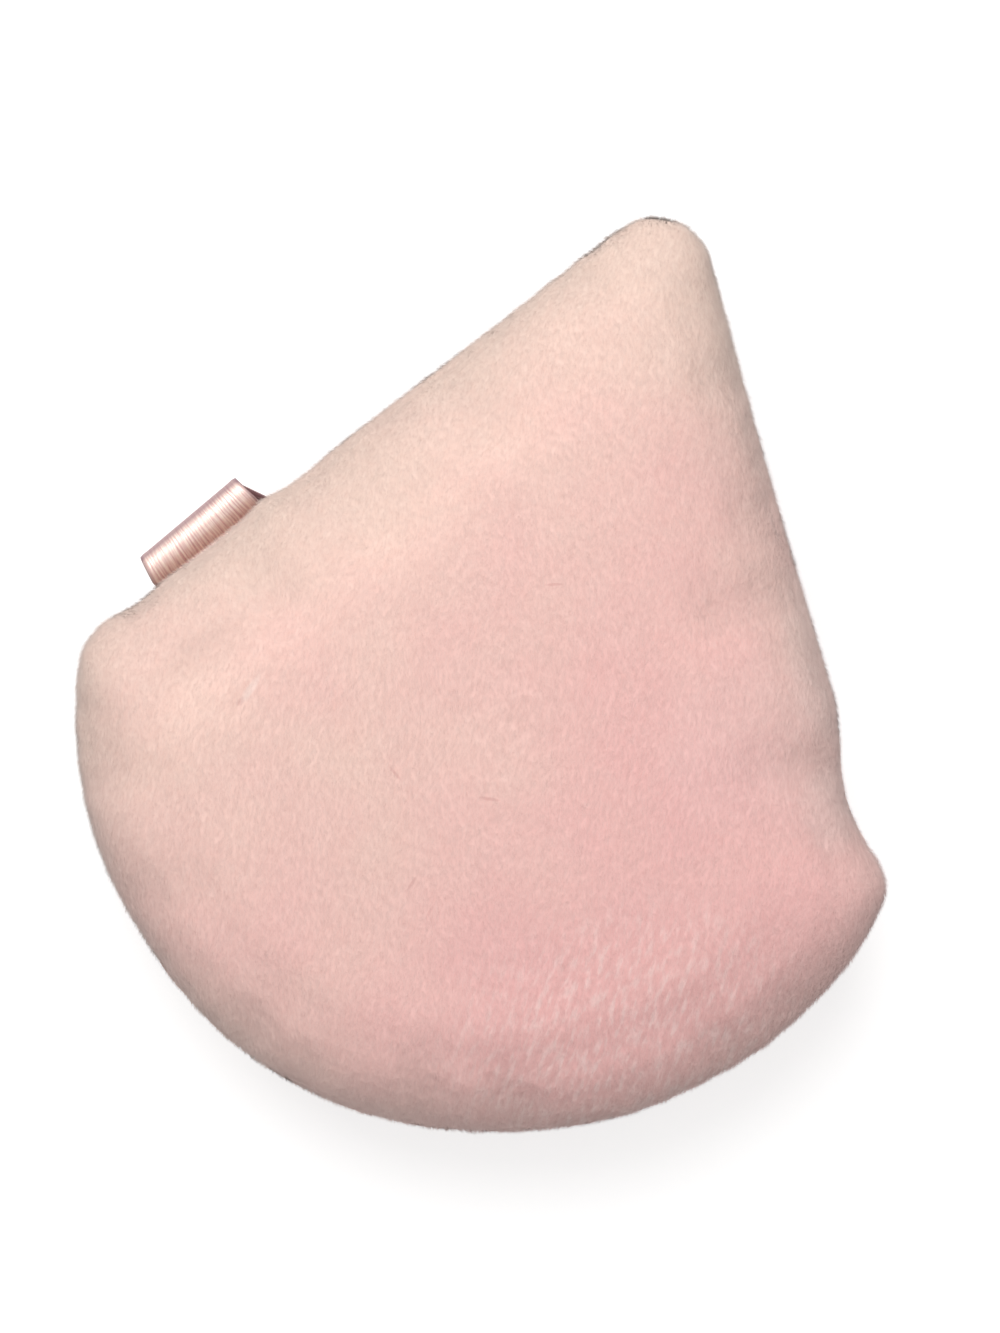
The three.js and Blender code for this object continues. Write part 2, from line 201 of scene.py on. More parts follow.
def arc(centre: Points, radius: float, first: float, last: float, count: int = 400) -> Points:
    """Points of an arc, by how far each has turned from straight down to the right."""
    angle = np.linspace(first, last, count)
    return np.stack((centre[0] + radius * np.sin(angle), centre[1] - radius * np.cos(angle)), 1)


# -------------------------------------------------------------------- node trees


class Value:
    """A number socket of a node tree, on which arithmetic can be written as Python."""

    def __init__(self, tree: "Tree", socket: Socket) -> None:
        """Keeps the socket and the tree that its next nodes go into."""
        self.tree = tree
        self.socket = socket

    def _with(self, operation: str, *terms: Any) -> "Value":
        """Adds a Math node over the terms and returns its result."""
        return self.tree.value("ShaderNodeMath", {"operation": operation}, dict(enumerate(terms)))

    def __add__(self, other: Any) -> "Value":
        """self + other."""
        return self._with("ADD", self, other)

    def __sub__(self, other: Any) -> "Value":
        """self - other."""
        return self._with("SUBTRACT", self, other)

    def __mul__(self, other: Any) -> "Value":
        """self * other."""
        return self._with("MULTIPLY", self, other)

    def __truediv__(self, other: Any) -> "Value":
        """self / other."""
        return self._with("DIVIDE", self, other)

    def __rsub__(self, other: Any) -> "Value":
        """other - self."""
        return self._with("SUBTRACT", other, self)

    __radd__ = __add__
    __rmul__ = __mul__

    def sine(self) -> "Value":
        """The sine of the value."""
        return self._with("SINE", self)

    def at_most(self, other: Any) -> "Value":
        """The smaller of the two."""
        return self._with("MINIMUM", self, other)

    def step(self, low: float, high: float) -> "Value":
        """0 below low, 1 above high, and a smooth rise between them."""
        return self.tree.value("ShaderNodeMapRange", {"interpolation_type": "SMOOTHSTEP"},
                               {"Value": self, "From Min": low, "From Max": high}, "Result")


class Tree:
    """A node tree under construction."""

    def __init__(self, nodes: bpy.types.NodeTree) -> None:
        """Empties the tree."""
        self.nodes = nodes
        nodes.nodes.clear()

    @staticmethod
    def find(sockets: Any, key: int | str) -> Socket:
        """Finds a socket by its number, identifier or name.

        Args:
            sockets: A node's inputs or outputs.
            key: What names the socket.

        Returns:
            The socket.
        """
        if isinstance(key, int):
            return sockets[key]
        return next((s for s in sockets if s.identifier == key), None) or sockets[key]

    def add(self, kind: str, settings: dict[str, Any] | None = None,
            inputs: dict[int | str, Any] | None = None) -> bpy.types.Node:
        """Adds a node, with its settings first and then its sockets.

        Args:
            kind: The node's type.
            settings: Properties of the node.
            inputs: Values or links by socket.

        Returns:
            The node.
        """
        node = self.nodes.nodes.new(kind)
        for name, value in (settings or {}).items():
            setattr(node, name, value)
        for key, value in (inputs or {}).items():
            socket = self.find(node.inputs, key)
            if isinstance(value, Value):
                value = value.socket
            if isinstance(value, Socket):
                self.nodes.links.new(value, socket)
            else:
                socket.default_value = value
        return node

    def link(self, kind: str, settings: dict[str, Any] | None = None,
             inputs: dict[int | str, Any] | None = None, output: int | str = 0) -> Socket:
        """Adds a node and returns one of its outputs.

        Args:
            kind: The node's type.
            settings: As in add.
            inputs: As in add.
            output: Which output.

        Returns:
            The output.
        """
        return self.find(self.add(kind, settings, inputs).outputs, output)

    def value(self, *terms: Any) -> Value:
        """Adds a node as link does and returns the output as a Value."""
        return Value(self, self.link(*terms))

    def vector(self, operation: str, *terms: Any) -> Socket:
        """Adds a Vector Math node over the terms and returns its vector."""
        inputs = dict(enumerate(terms))
        if operation == "SCALE":
            inputs = {0: terms[0], "Scale": terms[1]}
        return self.link("ShaderNodeVectorMath", {"operation": operation}, inputs)

    def dot(self, first: Any, second: Any) -> Value:
        """Adds the dot product of two vectors."""
        return self.value("ShaderNodeVectorMath", {"operation": "DOT_PRODUCT"},
                          {0: first, 1: second}, "Value")

    def mix(self, share: Any, first: Any, second: Any) -> Socket:
        """Mixes two colours.

        Args:
            share: 0 for the first and 1 for the second.
            first: A colour or its socket.
            second: The other one.

        Returns:
            The mixed colour's socket.
        """
        both = [(*c, 1.0) if isinstance(c, tuple) else c for c in (first, second)]
        return self.link("ShaderNodeMix", {"data_type": "RGBA"},
                         {"Factor_Float": share, "A_Color": both[0], "B_Color": both[1]},
                         "Result_Color")

    def noise(self, place: Any, scale: float, detail: float = 2.0) -> Value:
        """A cloudy pattern from 0 to 1, with scale patches to a unit of place."""
        return self.value("ShaderNodeTexNoise", None,
                          {"Vector": place, "Scale": scale, "Detail": detail})


class Surface(Tree):
    """The node tree of one material, around one Principled shader."""

    def __init__(self, name: str) -> None:
        """Makes an empty material of this name."""
        self.material = bpy.data.materials.new(name)
        self.material.use_nodes = True
        super().__init__(self.material.node_tree)

    def place(self) -> Socket:
        """The place on the piece in millimetres."""
        return self.vector("SCALE", self.link("ShaderNodeTexCoord", None, None, "Object"), 1 / MM)

    def attribute(self, name: str) -> Value:
        """A number that the mesh carries."""
        return self.value("ShaderNodeAttribute", {"attribute_name": name}, None, "Fac")

    def stripes(self, place: Any, pitch: float, wander: Value | float = 0.0) -> Value:
        """Stripes side by side along x, from -1 to 1, that a phase lets wander."""
        return (self.dot(place, (FULL_TURN / pitch, 0.0, 0.0)) + wander).sine()

    def bump(self, height: Value, depth: float) -> Socket:
        """Turns a height from 0 to 1 into a normal, over a depth in millimetres."""
        return self.link("ShaderNodeBump", None,
                         {"Height": height, "Distance": depth * MM, "Strength": 1.0}, "Normal")

    def finish(self, sockets: dict[str, Any]) -> bpy.types.Material:
        """Closes the tree with its shader.

        Args:
            sockets: Values and links of the Principled shader.

        Returns:
            The material.
        """
        shader = self.link("ShaderNodeBsdfPrincipled", None, sockets)
        self.add("ShaderNodeOutputMaterial", None, {"Surface": shader})
        return self.material


class Grower(Tree):
    """A Geometry Nodes tree with named inputs, run on a mesh to make a piece."""

    def __init__(self, name: str, kinds: dict[str, str]) -> None:
        """Makes a tree that takes and gives a geometry.

        Args:
            name: The tree's name.
            kinds: The kind of socket of each further input, by its name.
        """
        self.group = bpy.data.node_groups.new(name, "GeometryNodeTree")
        face = self.group.interface
        for title, kind in {"Geometry": "Geometry", **kinds}.items():
            face.new_socket(name=title, in_out="INPUT", socket_type=f"NodeSocket{kind}")
        face.new_socket(name="Geometry", in_out="OUTPUT", socket_type="NodeSocketGeometry")
        super().__init__(self.group)
        self.inputs = self.add("NodeGroupInput").outputs

    def given(self, name: str) -> Value:
        """One of the tree's own inputs, as a Value."""
        return Value(self, self.inputs[name])

    def cloud(self, place: Any, scale: float, detail: float) -> Socket:
        """A cloudy direction, of which each part is from -0.5 to 0.5."""
        colour = self.link("ShaderNodeTexNoise", None,
                           {"Vector": place, "Scale": scale, "Detail": detail}, "Color")
        return self.vector("SUBTRACT", colour, (0.5, 0.5, 0.5))

    def chance(self, low: float, seed: int) -> Value:
        """A number for each point that is drawn between low and 1."""
        index = self.link("GeometryNodeInputIndex")
        return self.value("FunctionNodeRandomValue", {"data_type": "FLOAT"},
                          {"Min_001": low, "Max_001": 1.0, "ID": index, "Seed": seed}, "Value_001")

    def compare(self, operation: str, first: Any, second: Any) -> Socket:
        """Whether a comparison of two numbers holds."""
        return self.link("FunctionNodeCompare", {"operation": operation}, {"A": first, "B": second})

    def both(self, first: Socket, second: Socket) -> Socket:
        """Whether two conditions hold."""
        return self.link("FunctionNodeBooleanMath", {"operation": "AND"}, {0: first, 1: second})

    def aligned(self, axis: str, way: Socket, about: str, aside: Any) -> Socket:
        """A rotation that turns an axis to a way, and then, about it, another axis aside.

        Args:
            axis: The axis that is turned fully.
            way: Where it points.
            about: The axis that is turned about it as far as it goes.
            aside: What that one turns to.

        Returns:
            The rotation.
        """
        first = self.link("FunctionNodeAlignRotationToVector", {"axis": axis}, {"Vector": way})
        return self.link("FunctionNodeAlignRotationToVector", {"axis": about, "pivot_axis": axis},
                         {"Rotation": first, "Vector": aside})

    def store(self, geometry: Socket, name: str, value: Any, kind: str = "FLOAT") -> Socket:
        """Stores a value on a geometry's points."""
        return self.link("GeometryNodeStoreNamedAttribute", {"data_type": kind, "domain": "POINT"},
                         {"Geometry": geometry, "Name": name, "Value": value})

    def close(self, sockets: dict[str, Any]) -> None:
        """Ends the tree: sets instances on points, makes them real and sets their material."""
        row = self.link("GeometryNodeInstanceOnPoints", None, sockets)
        real = self.link("GeometryNodeRealizeInstances", None, {0: row})
        smooth = self.link("GeometryNodeSetShadeSmooth", None, {0: real})
        dressed = self.link("GeometryNodeSetMaterial", None,
                            {"Geometry": smooth, "Material": self.inputs["Finish"]})
        self.add("NodeGroupOutput", None, {0: dressed})

    def grow(self, name: str, bed: bpy.types.Mesh, values: dict[str, Any]) -> bpy.types.Object:
        """Runs the tree on a mesh.

        Args:
            name: The new piece's name.
            bed: What it grows on.
            values: The tree's inputs by name.

        Returns:
            The piece, as a plain mesh.
        """
        holder = link_object("bed", bed)
        grower = holder.modifiers.new("grower", "NODES")
        grower.node_group = self.group
        for socket in self.group.interface.items_tree:
            if socket.in_out == "INPUT" and socket.name in values:
                grower[socket.identifier] = values[socket.name]
        mesh = bpy.data.meshes.new_from_object(evaluated(holder))
        bpy.data.objects.remove(holder)
        mesh.name = name
        return link_object(name, mesh)


# ---------------------------------------------------------------------- finishes


def daylight(red: int, green: int, blue: int) -> Colour:
    """A colour as it is seen on a screen, from 0 to 255 a part, as light."""
    shares = (red / 255, green / 255, blue / 255)
    return tuple(s / 12.92 if s <= 0.04045 else ((s + 0.055) / 1.055) ** 2.4 for s in shares)


class PileLayer(Enum):
    """Which layer of the velour a material is for."""

    GROUND = "ground"
    FIBRES = "fibres"


@dataclass(frozen=True)
class Oval:
    """An oval place of the plan, by its middle, its half axes and its turn in degrees."""

    x: float
    y: float
    long: float
    wide: float
    turn: float

    def axes(self) -> tuple[tuple[float, float], tuple[float, float]]:
        """The directions along and across the oval, over its half axes."""
        c, s = math.cos(math.radians(self.turn)), math.sin(math.radians(self.turn))
        return (c / self.long, s / self.long), (-s / self.wide, c / self.wide)


@dataclass(frozen=True)
class Mark(Oval):
    """A place where the nap lies otherwise: lighter where it is ruffled, and darker where it parts,
    as painted shade in the gap.
    """

    share: float

    def cover(self, tree: Surface, place: Socket) -> Value:
        """How much of the mark is at a place of the piece, from 0 to 1."""
        offset = tree.vector("SUBTRACT", place, (self.x, self.y, 0.0))
        along, across = (tree.dot(offset, (*axis, 0.0)) for axis in self.axes())
        return (1.0 - along * along - across * across).step(0.0, 1.0)


@dataclass(frozen=True)
class Velour:
    """Short velour pile on a knitted ground."""

    name: str
    cream: Colour
    rose: Colour
    shadow: Colour
    marks: tuple[Mark, ...] = ()
    # partly dye, partly painted light and shade: the colour drifts toward rose to the right and
    # toward the base, and is paler at the tip
    drift: tuple[float, float, float] = (0.0125, -0.0045, 0.0)
    drift_start: float = 0.56
    cloudy: float = 0.9
    pale_tip: float = 0.5
    tip_reach: tuple[float, float] = (14.0, 34.0)
    wale: float = 0.85
    wander: float = 5.0
    mottle: float = 0.34
    rows: float = 0.09
    # the brushed streaks paint the nap's sheen and shade into the colour, lighter toward the pale
    # colour below
    sheen_streaks: float = 0.7
    brushed: Mark = Mark(16.0, -24.0, 18.0, 11.0, 36.0, 1.0)
    brushed_sheen_share: float = 0.24
    # a pale colour: random fluff in the mottle and fibre tints, and painted sheen in the brushed
    # streaks
    fluff_and_sheen: Colour = (1.0, 0.93, 0.88)
    deep_share: float = 0.10
    fluff_share: float = 0.06
    tint_share: float = 0.12
    # painted shade: the velour greys toward this colour on the rim near the seam
    rim: Colour = daylight(196, 186, 174)
    rim_shade_share: float = 0.42
    rim_shade_reach: tuple[float, float] = (2.0, 8.6)
    seam_height: float = 9.5
    sheen: float = 0.25
    knit: float = 0.03

    def _dye(self, tree: Surface, place: Socket) -> Socket:
        """The colour's drift from cream to rose and its paler tip, partly dye and partly painted
        light and shade, the marks, and painted grey shade on the rim over the seam.
        """
        clouds = tree.noise(place, 0.055, 3.0) - 0.5
        tip = tree.dot(place, (0.0, 1.0, 0.0)).step(*self.tip_reach)
        drift = tree.dot(place, self.drift) + self.drift_start
        share = (drift + clouds * self.cloudy - tip * self.pale_tip).step(0.0, 1.0)
        colour = tree.mix(share, self.cream, self.rose)
        # marks with a negative share paint shade into small gaps where the nap parts; the others
        # lighten ruffled nap
        for mark in self.marks:
            other = self.shadow if mark.share < 0 else self.fluff_and_sheen
            colour = tree.mix(mark.cover(tree, place) * abs(mark.share), colour, other)
        # painted shade: grey over the rim, strongest at the seam's height
        above = tree.dot(place, (0.0, 0.0, 1.0)) - self.seam_height
        rim = 1 - (above * above).step(*(reach**2 for reach in self.rim_shade_reach))
        return tree.mix(rim * self.rim_shade_share, colour, self.rim)

    def _tone(self, tree: Surface, place: Socket) -> Socket:
        """The dye with the nap's mottling and knitted rows over it, and painted sheen and shade in
        brushed streaks.
        """
        colour = self._dye(tree, place)
        grain = tree.noise(place, 1.5, 3.0) - 0.5
        broad = tree.noise(place, 0.32) - 0.5
        rows = tree.stripes(place, self.wale, tree.noise(place, 0.22) * self.wander)
        shown = tree.noise(place, 0.06, 1.0).step(0.42, 0.66)
        # painted sheen and shade: streaks and whitened combs in the brushed zone
        combed = tree.noise(tree.vector("MULTIPLY", place, (1.0, 0.3, 0.0)), 2.0, 4.0)
        brushed = self.brushed.cover(tree, place)
        sheen_streak = (combed - 0.5) * brushed
        combed_sheen = combed.step(0.46, 0.72) * brushed * self.brushed_sheen_share
        colour = tree.mix(combed_sheen, colour, self.fluff_and_sheen)
        light = (0.5 + grain * self.mottle * 4 + broad * self.mottle * 2
                 + rows * shown * self.rows + sheen_streak * self.sheen_streaks * 8)
        return tree.mix(light, tree.mix(self.deep_share, colour, self.shadow),
                        tree.mix(self.fluff_share, colour, self.fluff_and_sheen))

    def material(self, layer: PileLayer) -> bpy.types.Material:
        """Makes the material of one layer of the velour.

        Args:
            layer: The knitted ground or the fibres that stand on it.

        Returns:
            The material.
        """
        tree = Surface(f"{self.name}_{layer.value}")
        place = tree.place()
        colour = self._tone(tree, place)
        if layer is PileLayer.FIBRES:
            # painted shade: each fibre darkens from its tip to its root, for the shade deep in the
            # pile
            root = tree.mix(self.deep_share, colour, self.shadow)
            colour = tree.mix(tree.attribute("along"), root, colour)
            colour = tree.mix(tree.attribute("tint") * self.tint_share, colour, self.fluff_and_sheen)
            own = {"Roughness": 0.9}
        else:
            height = tree.noise(place, 2.2, 3.0) * 0.7 + tree.stripes(place, self.wale) * 0.12
            own = {"Roughness": 0.95, "Normal": tree.bump(height, self.knit)}
        return tree.finish({"Base Color": colour, "Sheen Weight": self.sheen,
                            "Sheen Roughness": 0.5, "Specular IOR Level": 0.2, **own})


@dataclass(frozen=True)
class Satin:
    """Shiny ribbon, with the fine threads of its face running along its length."""

    name: str
    bright: Colour
    deep: Colour
    # dark colour: painted shade on the dull side and over the fold, and the selvedge's own colour
    shade_and_selvedge: Colour
    thread_pitch: float = 0.27
    wander: float = 0.6
    fine: float = 8.0
    long: float = 0.04
    regular: float = 0.15
    selvedge: float = 0.35
    selvedge_share: float = 0.6
    crease_share: float = 0.75
    crease_edge: float = 0.5
    polish: float = 0.34
    metal: float = 0.7
    relief: float = 0.05

    def material(self, width: float, length: float,
                 crease: tuple[float, float] | None = None) -> bpy.types.Material:
        """Makes the material of a ribbon.

        Args:
            width: The ribbon's width; its map spans the dull side, then the shiny one.
            length: Its length, which its map spans from 0 to 1.
            crease: Where painted shade darkens the fold, counted back from its far end.

        Returns:
            The material.
        """
        tree = Surface(self.name)
        weave = tree.link("ShaderNodeUVMap", {"uv_map": MAP_NAME})
        place = tree.vector("MULTIPLY", weave, (2 * width, length, 1.0))
        if crease:
            place = tree.vector("SUBTRACT", place, (0.0, length, 0.0))
        right = tree.dot(place, (1.0, 0.0, 0.0))
        wander = tree.noise(tree.vector("MULTIPLY", place, (1.0, 0.22, 1.0)), 1.4)
        phase = wander * (self.wander * FULL_TURN / self.thread_pitch)
        rows = tree.stripes(place, self.thread_pitch, phase) * 0.5 + 0.5
        stretched = tree.vector("MULTIPLY", place, (self.fine, self.fine * self.long, 1.0))
        threads = tree.noise(stretched, 1.0, 3.0)
        weave_height = rows * self.regular + threads * (1 - self.regular)
        colour = tree.mix(weave_height.step(0.2, 0.75), self.deep, self.bright)
        aside = right - 1.5 * width
        selvedge = ((width / 2 - self.selvedge) ** 2, (width / 2) ** 2)
        dark = (aside * aside).step(*selvedge) * self.selvedge_share
        # painted shade: the fold darkens toward the dark colour
        if crease:
            along = tree.dot(place, (0.0, 1.0, 0.0))
            start, end = (along.step(at, at + self.crease_edge) for at in crease)
            dark = (dark + start * (1 - end) * self.crease_share).at_most(1.0)
        colour = tree.mix(dark, colour, self.shade_and_selvedge)
        # painted shade: the dull side takes the dark colour, as the ribbon's lower layer in shade
        colour = tree.mix(right.step(0.999 * width, 1.001 * width), self.shade_and_selvedge, colour)
        return tree.finish({
            "Base Color": colour, "Roughness": self.polish + threads * 0.2, "Metallic": self.metal,
            "Specular IOR Level": 0.75, "Anisotropic": 0.4,
            "Normal": tree.bump(weave_height, self.relief),
        })


@dataclass(frozen=True)
class Foam:
    """Open-celled foam, cut to shape."""

    name: str
    cell: Colour
    pore_shade: Colour

    def material(self) -> bpy.types.Material:
        """Makes the foam's material."""
        tree = Surface(self.name)
        cells = tree.value("ShaderNodeTexVoronoi", {"feature": "DISTANCE_TO_EDGE"},
                           {"Vector": tree.place(), "Scale": 1.1}, "Distance")
        # painted shade: the pores, low in the bump, are darkened
        walls = cells.step(0.02, 0.16)
        return tree.finish({"Base Color": tree.mix(walls * 0.7, self.cell, self.pore_shade),
                            "Roughness": 0.95, "Normal": tree.bump(1.0 - walls, 0.4)})


@dataclass(frozen=True)
class Yarn:
    """Twisted sewing thread."""

    name: str
    colour: Colour
    shade: Colour

    def material(self) -> bpy.types.Material:
        """Makes the thread's material."""
        tree = Surface(self.name)
        fuzz = tree.noise(tree.place(), 9.0)
        return tree.finish({"Base Color": tree.mix(fuzz, self.shade, self.colour),
                            "Roughness": 0.55, "Sheen Weight": 0.3,
                            "Normal": tree.bump(fuzz, 0.04)})


# ------------------------------------------------------------------- the outline


@dataclass(frozen=True)
class Bulge:
    """A place where the seam stands out, or in, from its cut line."""

    turn: float
    reach: float
    out: float


@dataclass(frozen=True)
class SeamPlan:
    """The seam line seen from above, with y = 0 at its base and its tip on x = 0."""

    length: float = 75.0
    tip_radius: float = 4.8
    base_radius: float = 33.8
    base_shift: float = 0.8
    corner_height: float = 29.9
    corner_radius: float = 6.0
    right_pinch: float = 1.5
    left_pinch: float = 0.3
    pinch_reach: float = 9.0
    strap_right: float = 36.6
    strap_left: float = 39.0
    strap_width: float = 9.8
    press: float = 0.65
    press_shoulder: float = 2.5
    press_ramp: float = 2.5
    count: int = 440
    bulges: tuple[Bulge, ...] = ()

    @property
    def middle(self) -> Points:
        """The middle that the rings of a face shrink to."""
        return np.array((-self.base_shift, self.base_radius))

    @property
    def lean(self) -> float:
        """How far a straight side leans from the middle line."""
        drop = self.length - self.tip_radius - self.corner_height
        half = math.sqrt(self.base_radius**2 - (self.corner_height - self.base_radius) ** 2)
        return math.atan2(half, drop) - math.asin(self.tip_radius / math.hypot(half, drop))

    @property
    def tip(self) -> Points:
        """The centre of the tip's arc."""
        return np.array((0.0, self.length - self.tip_radius))

    def _corner(self, hand: int) -> Points:
        """The centre of the arc between a straight side and the base."""
        out = np.array((hand * math.cos(self.lean), math.sin(self.lean)))
        down = np.array((hand * math.sin(self.lean), -math.cos(self.lean)))
        start = self.tip + out * (self.tip_radius - self.corner_radius)
        offset = start - self.middle
        along = float(offset @ down)
        reach = self.base_radius - self.corner_radius
        travel = -along + math.sqrt(along**2 - float(offset @ offset) + reach**2)
        return start + down * travel

    def _resting(self) -> Points:
        """Evenly spaced points of the line before anything pulls on it."""
        middle, base, corner = self.middle, self.base_radius, self.corner_radius
        right, left = self._corner(1), self._corner(-1)
        turn_right, turn_left = (
            math.atan2(c[0] - middle[0], middle[1] - c[1]) for c in (right, left))
        sides = QUARTER_TURN + self.lean, 3 * QUARTER_TURN - self.lean
        line = np.concatenate((
            arc(middle, base, 0, turn_right),
            arc(right, corner, turn_right, sides[0]),
            arc(self.tip, self.tip_radius, *sides),
            arc(left, corner, sides[1], FULL_TURN + turn_left),
            arc(middle, base, FULL_TURN + turn_left, FULL_TURN),
        ))
        gaps = np.linalg.norm(np.diff(line, axis=0), axis=1)
        line = line[np.concatenate(([True], gaps > 1e-6))]
        marks = running_length(line)
        return resampled(line, marks, np.linspace(0, marks[-1], self.count, endpoint=False))

    @staticmethod
    def normals(line: Points) -> Points:
        """The outward direction at each point of a closed line."""
        run = np.roll(line, -1, 0) - np.roll(line, 1, 0)
        return unit(np.stack((run[:, 1], -run[:, 0]), 1))

    def from_strap(self, line: Points) -> Points:
        """How far along the side a line's points are from the strap's middle on that side."""
        height = np.where(line[:, 0] > 0, self.strap_right, self.strap_left)
        return np.abs(line[:, 1] - height) / math.cos(self.lean)

    def seam(self) -> Points:
        """The seam line with its pinches and bulges."""
        line = self._resting()
        away = self.from_strap(line) / self.pinch_reach
        pull = (1 + np.cos(np.pi * np.clip(away, 0, 1))) / 2
        out = -pull * np.where(line[:, 0] > 0, self.right_pinch, self.left_pinch)
        turn = np.arange(len(line)) / len(line)
        for bulge in self.bulges:
            apart = np.abs((turn - bulge.turn + 0.5) % 1 - 0.5) * perimeter(line)
            out = out + bulge.out * np.exp(-((apart / bulge.reach) ** 2))
        return line + self.normals(line) * out[:, None]

    def strap_middle(self, x: Points) -> Points:
        """How far above the base the strap's middle is, from left to right."""
        share = (x - self.seam()[:, 0].min()) / np.ptp(self.seam()[:, 0])
        return self.strap_left + (self.strap_right - self.strap_left) * share

    def pressed(self, x: Points, y: Points) -> Points:
        """How deep the strap presses into the back."""
        past = np.abs(y - self.strap_middle(x)) - self.strap_width / 2 - self.press_shoulder
        return self.press * (1 - np.clip(past / self.press_ramp, 0, 1))

    def edge(self, sign: int) -> Points:
        """The edge line of the front, or of the back, which the strap draws in on the right."""
        line = self.seam()
        if sign > 0:
            return line
        depth = np.where(line[:, 0] > 0, self.pressed(line[:, 0], line[:, 1]), 0)
        return line - self.normals(line) * depth[:, None]

    def shift(self) -> Points:
        """What moves the plan so that its box is over the origin."""
        line = self.seam()
        return -(line.min(0) + line.max(0)) / 2


# --------------------------------------------------------------------- the faces


@dataclass(frozen=True)
class Section:
    """The puff's stuffed section, from the seam to the crown of either face."""

    crown: float = 10.0
    roll: float = 19.0
    fullness: float = 2.2
    flat: float = 0.5
    lip: float = 1.4
    groove: float = 1.0
    half_gap: float = 0.15
    cover: float = 1.4
    allowance: float = 6.5
    allowance_top: float = 1.05
    pile: float = 0.3

    @property
    def floor(self) -> float:
        """How far the seam plane is above what the puff stands on."""
        return self.crown - self.flat

    def swell(self, distance: Points) -> Points:
        """How much of its height a face has at a distance from its edge."""
        left = 1 - np.clip(distance / self.roll, 0, 1)
        return (1 - left**self.fullness) ** (1 / self.fullness)


def softened_distance(points: Points, line: Points, batch: int = 4000) -> Points:
    """A distance to a closed line that evens out in its middle.

    Args:
        points: Places of the plan.
        line: The line.
        batch: How many places are worked out at once.

    Returns:
        One distance for each place.
    """
    run = np.roll(line, -1, 0) - line
    length = np.linalg.norm(run, axis=1)
    run = run / length[:, None]
    found = np.empty(len(points))
    for low in range(0, len(points), batch):
        offset = points[low:low + batch, None] - line
        across = run[:, 0] * offset[..., 1] - run[:, 1] * offset[..., 0]
        behind = (offset * run).sum(-1)
        ahead = length - behind
        near = np.maximum(np.abs(across), 1e-6)
        total = (ahead / np.hypot(ahead, near) + behind / np.hypot(behind, near)) / near**2
        found[low:low + batch] = np.sqrt(2 / np.maximum(total.sum(1), TINY))
    return found


def pole(rings: Points) -> Points:
    """The point that closes a face's rings at its crown."""
    top = rings[-1].mean(0)
    top[2] += (rings[-1, :, 2].mean() - rings[-2, :, 2].mean()) / 3
    return top


@dataclass
class Face:
    """One face of the puff as rings of points, from its edge to its crown."""

    plan: SeamPlan
    section: Section
    sign: int
    rings: int = 84
    places: Points = field(init=False)
    normals: Points = field(init=False)

    def __post_init__(self) -> None:
        """Works out the face's points and normals."""
        edge = self.plan.edge(self.sign)
        angle = np.linspace(0, QUARTER_TURN, self.rings + 1)[:-1]
        middle = self.plan.middle
        flat = middle + (edge - middle)[None] * np.cos(angle)[:, None, None]
        height = self.height(flat.reshape(-1, 2)).reshape(flat.shape[:2])
        height[0] = self.section.lip
        self.places = np.concatenate((flat, self.sign * height[..., None]), -1)
        self.normals = self.measure(self.places)

    def height(self, points: Points) -> Points:
        """The face's height over the seam plane at places of the plan."""
        section = self.section
        swell = section.swell(softened_distance(points, self.plan.edge(self.sign)))
        height = section.lip + (section.crown - section.lip) * swell
        if self.sign > 0:
            return height
        return np.minimum(height, section.floor - self.plan.pressed(points[:, 0], points[:, 1]))

    def measure(self, places: Points) -> Points:
        """The outward normal at each point of a grid like this face's."""
        around = np.roll(places, -1, 1) - np.roll(places, 1, 1)
        normals = unit(np.cross(around, np.gradient(places, axis=0))) * self.sign
        flat = self.plan.normals(places[0, :, :2])
        normals[0] = np.concatenate((flat, np.zeros((len(flat), 1))), 1)
        return normals

    def ring_share(self) -> Points:
        """How far each ring is on the way from the edge to the crown."""
        return np.arange(self.rings) / self.rings

    def reshape(self, places: Points) -> None:
        """Takes over the shape the face has settled to, above what it stands on."""
        if self.sign < 0:
            low = self.section.floor - self.plan.pressed(places[..., 0], places[..., 1])
            places[..., 2] = np.maximum(places[..., 2], -low)
        self.places = places
        self.normals = self.measure(places)

    def crown(self, depth: float) -> Points:
        """The point at the crown, at a depth under the face."""
        return pole(self.places) - np.array((0, 0, self.sign * depth))

    def layer(self, depth: float, step: int = 1) -> Points:
        """Every step-th ring of the face, at a depth under it."""
        return (self.places - self.normals * depth)[::step]


# ------------------------------------------------------------------ the stuffing


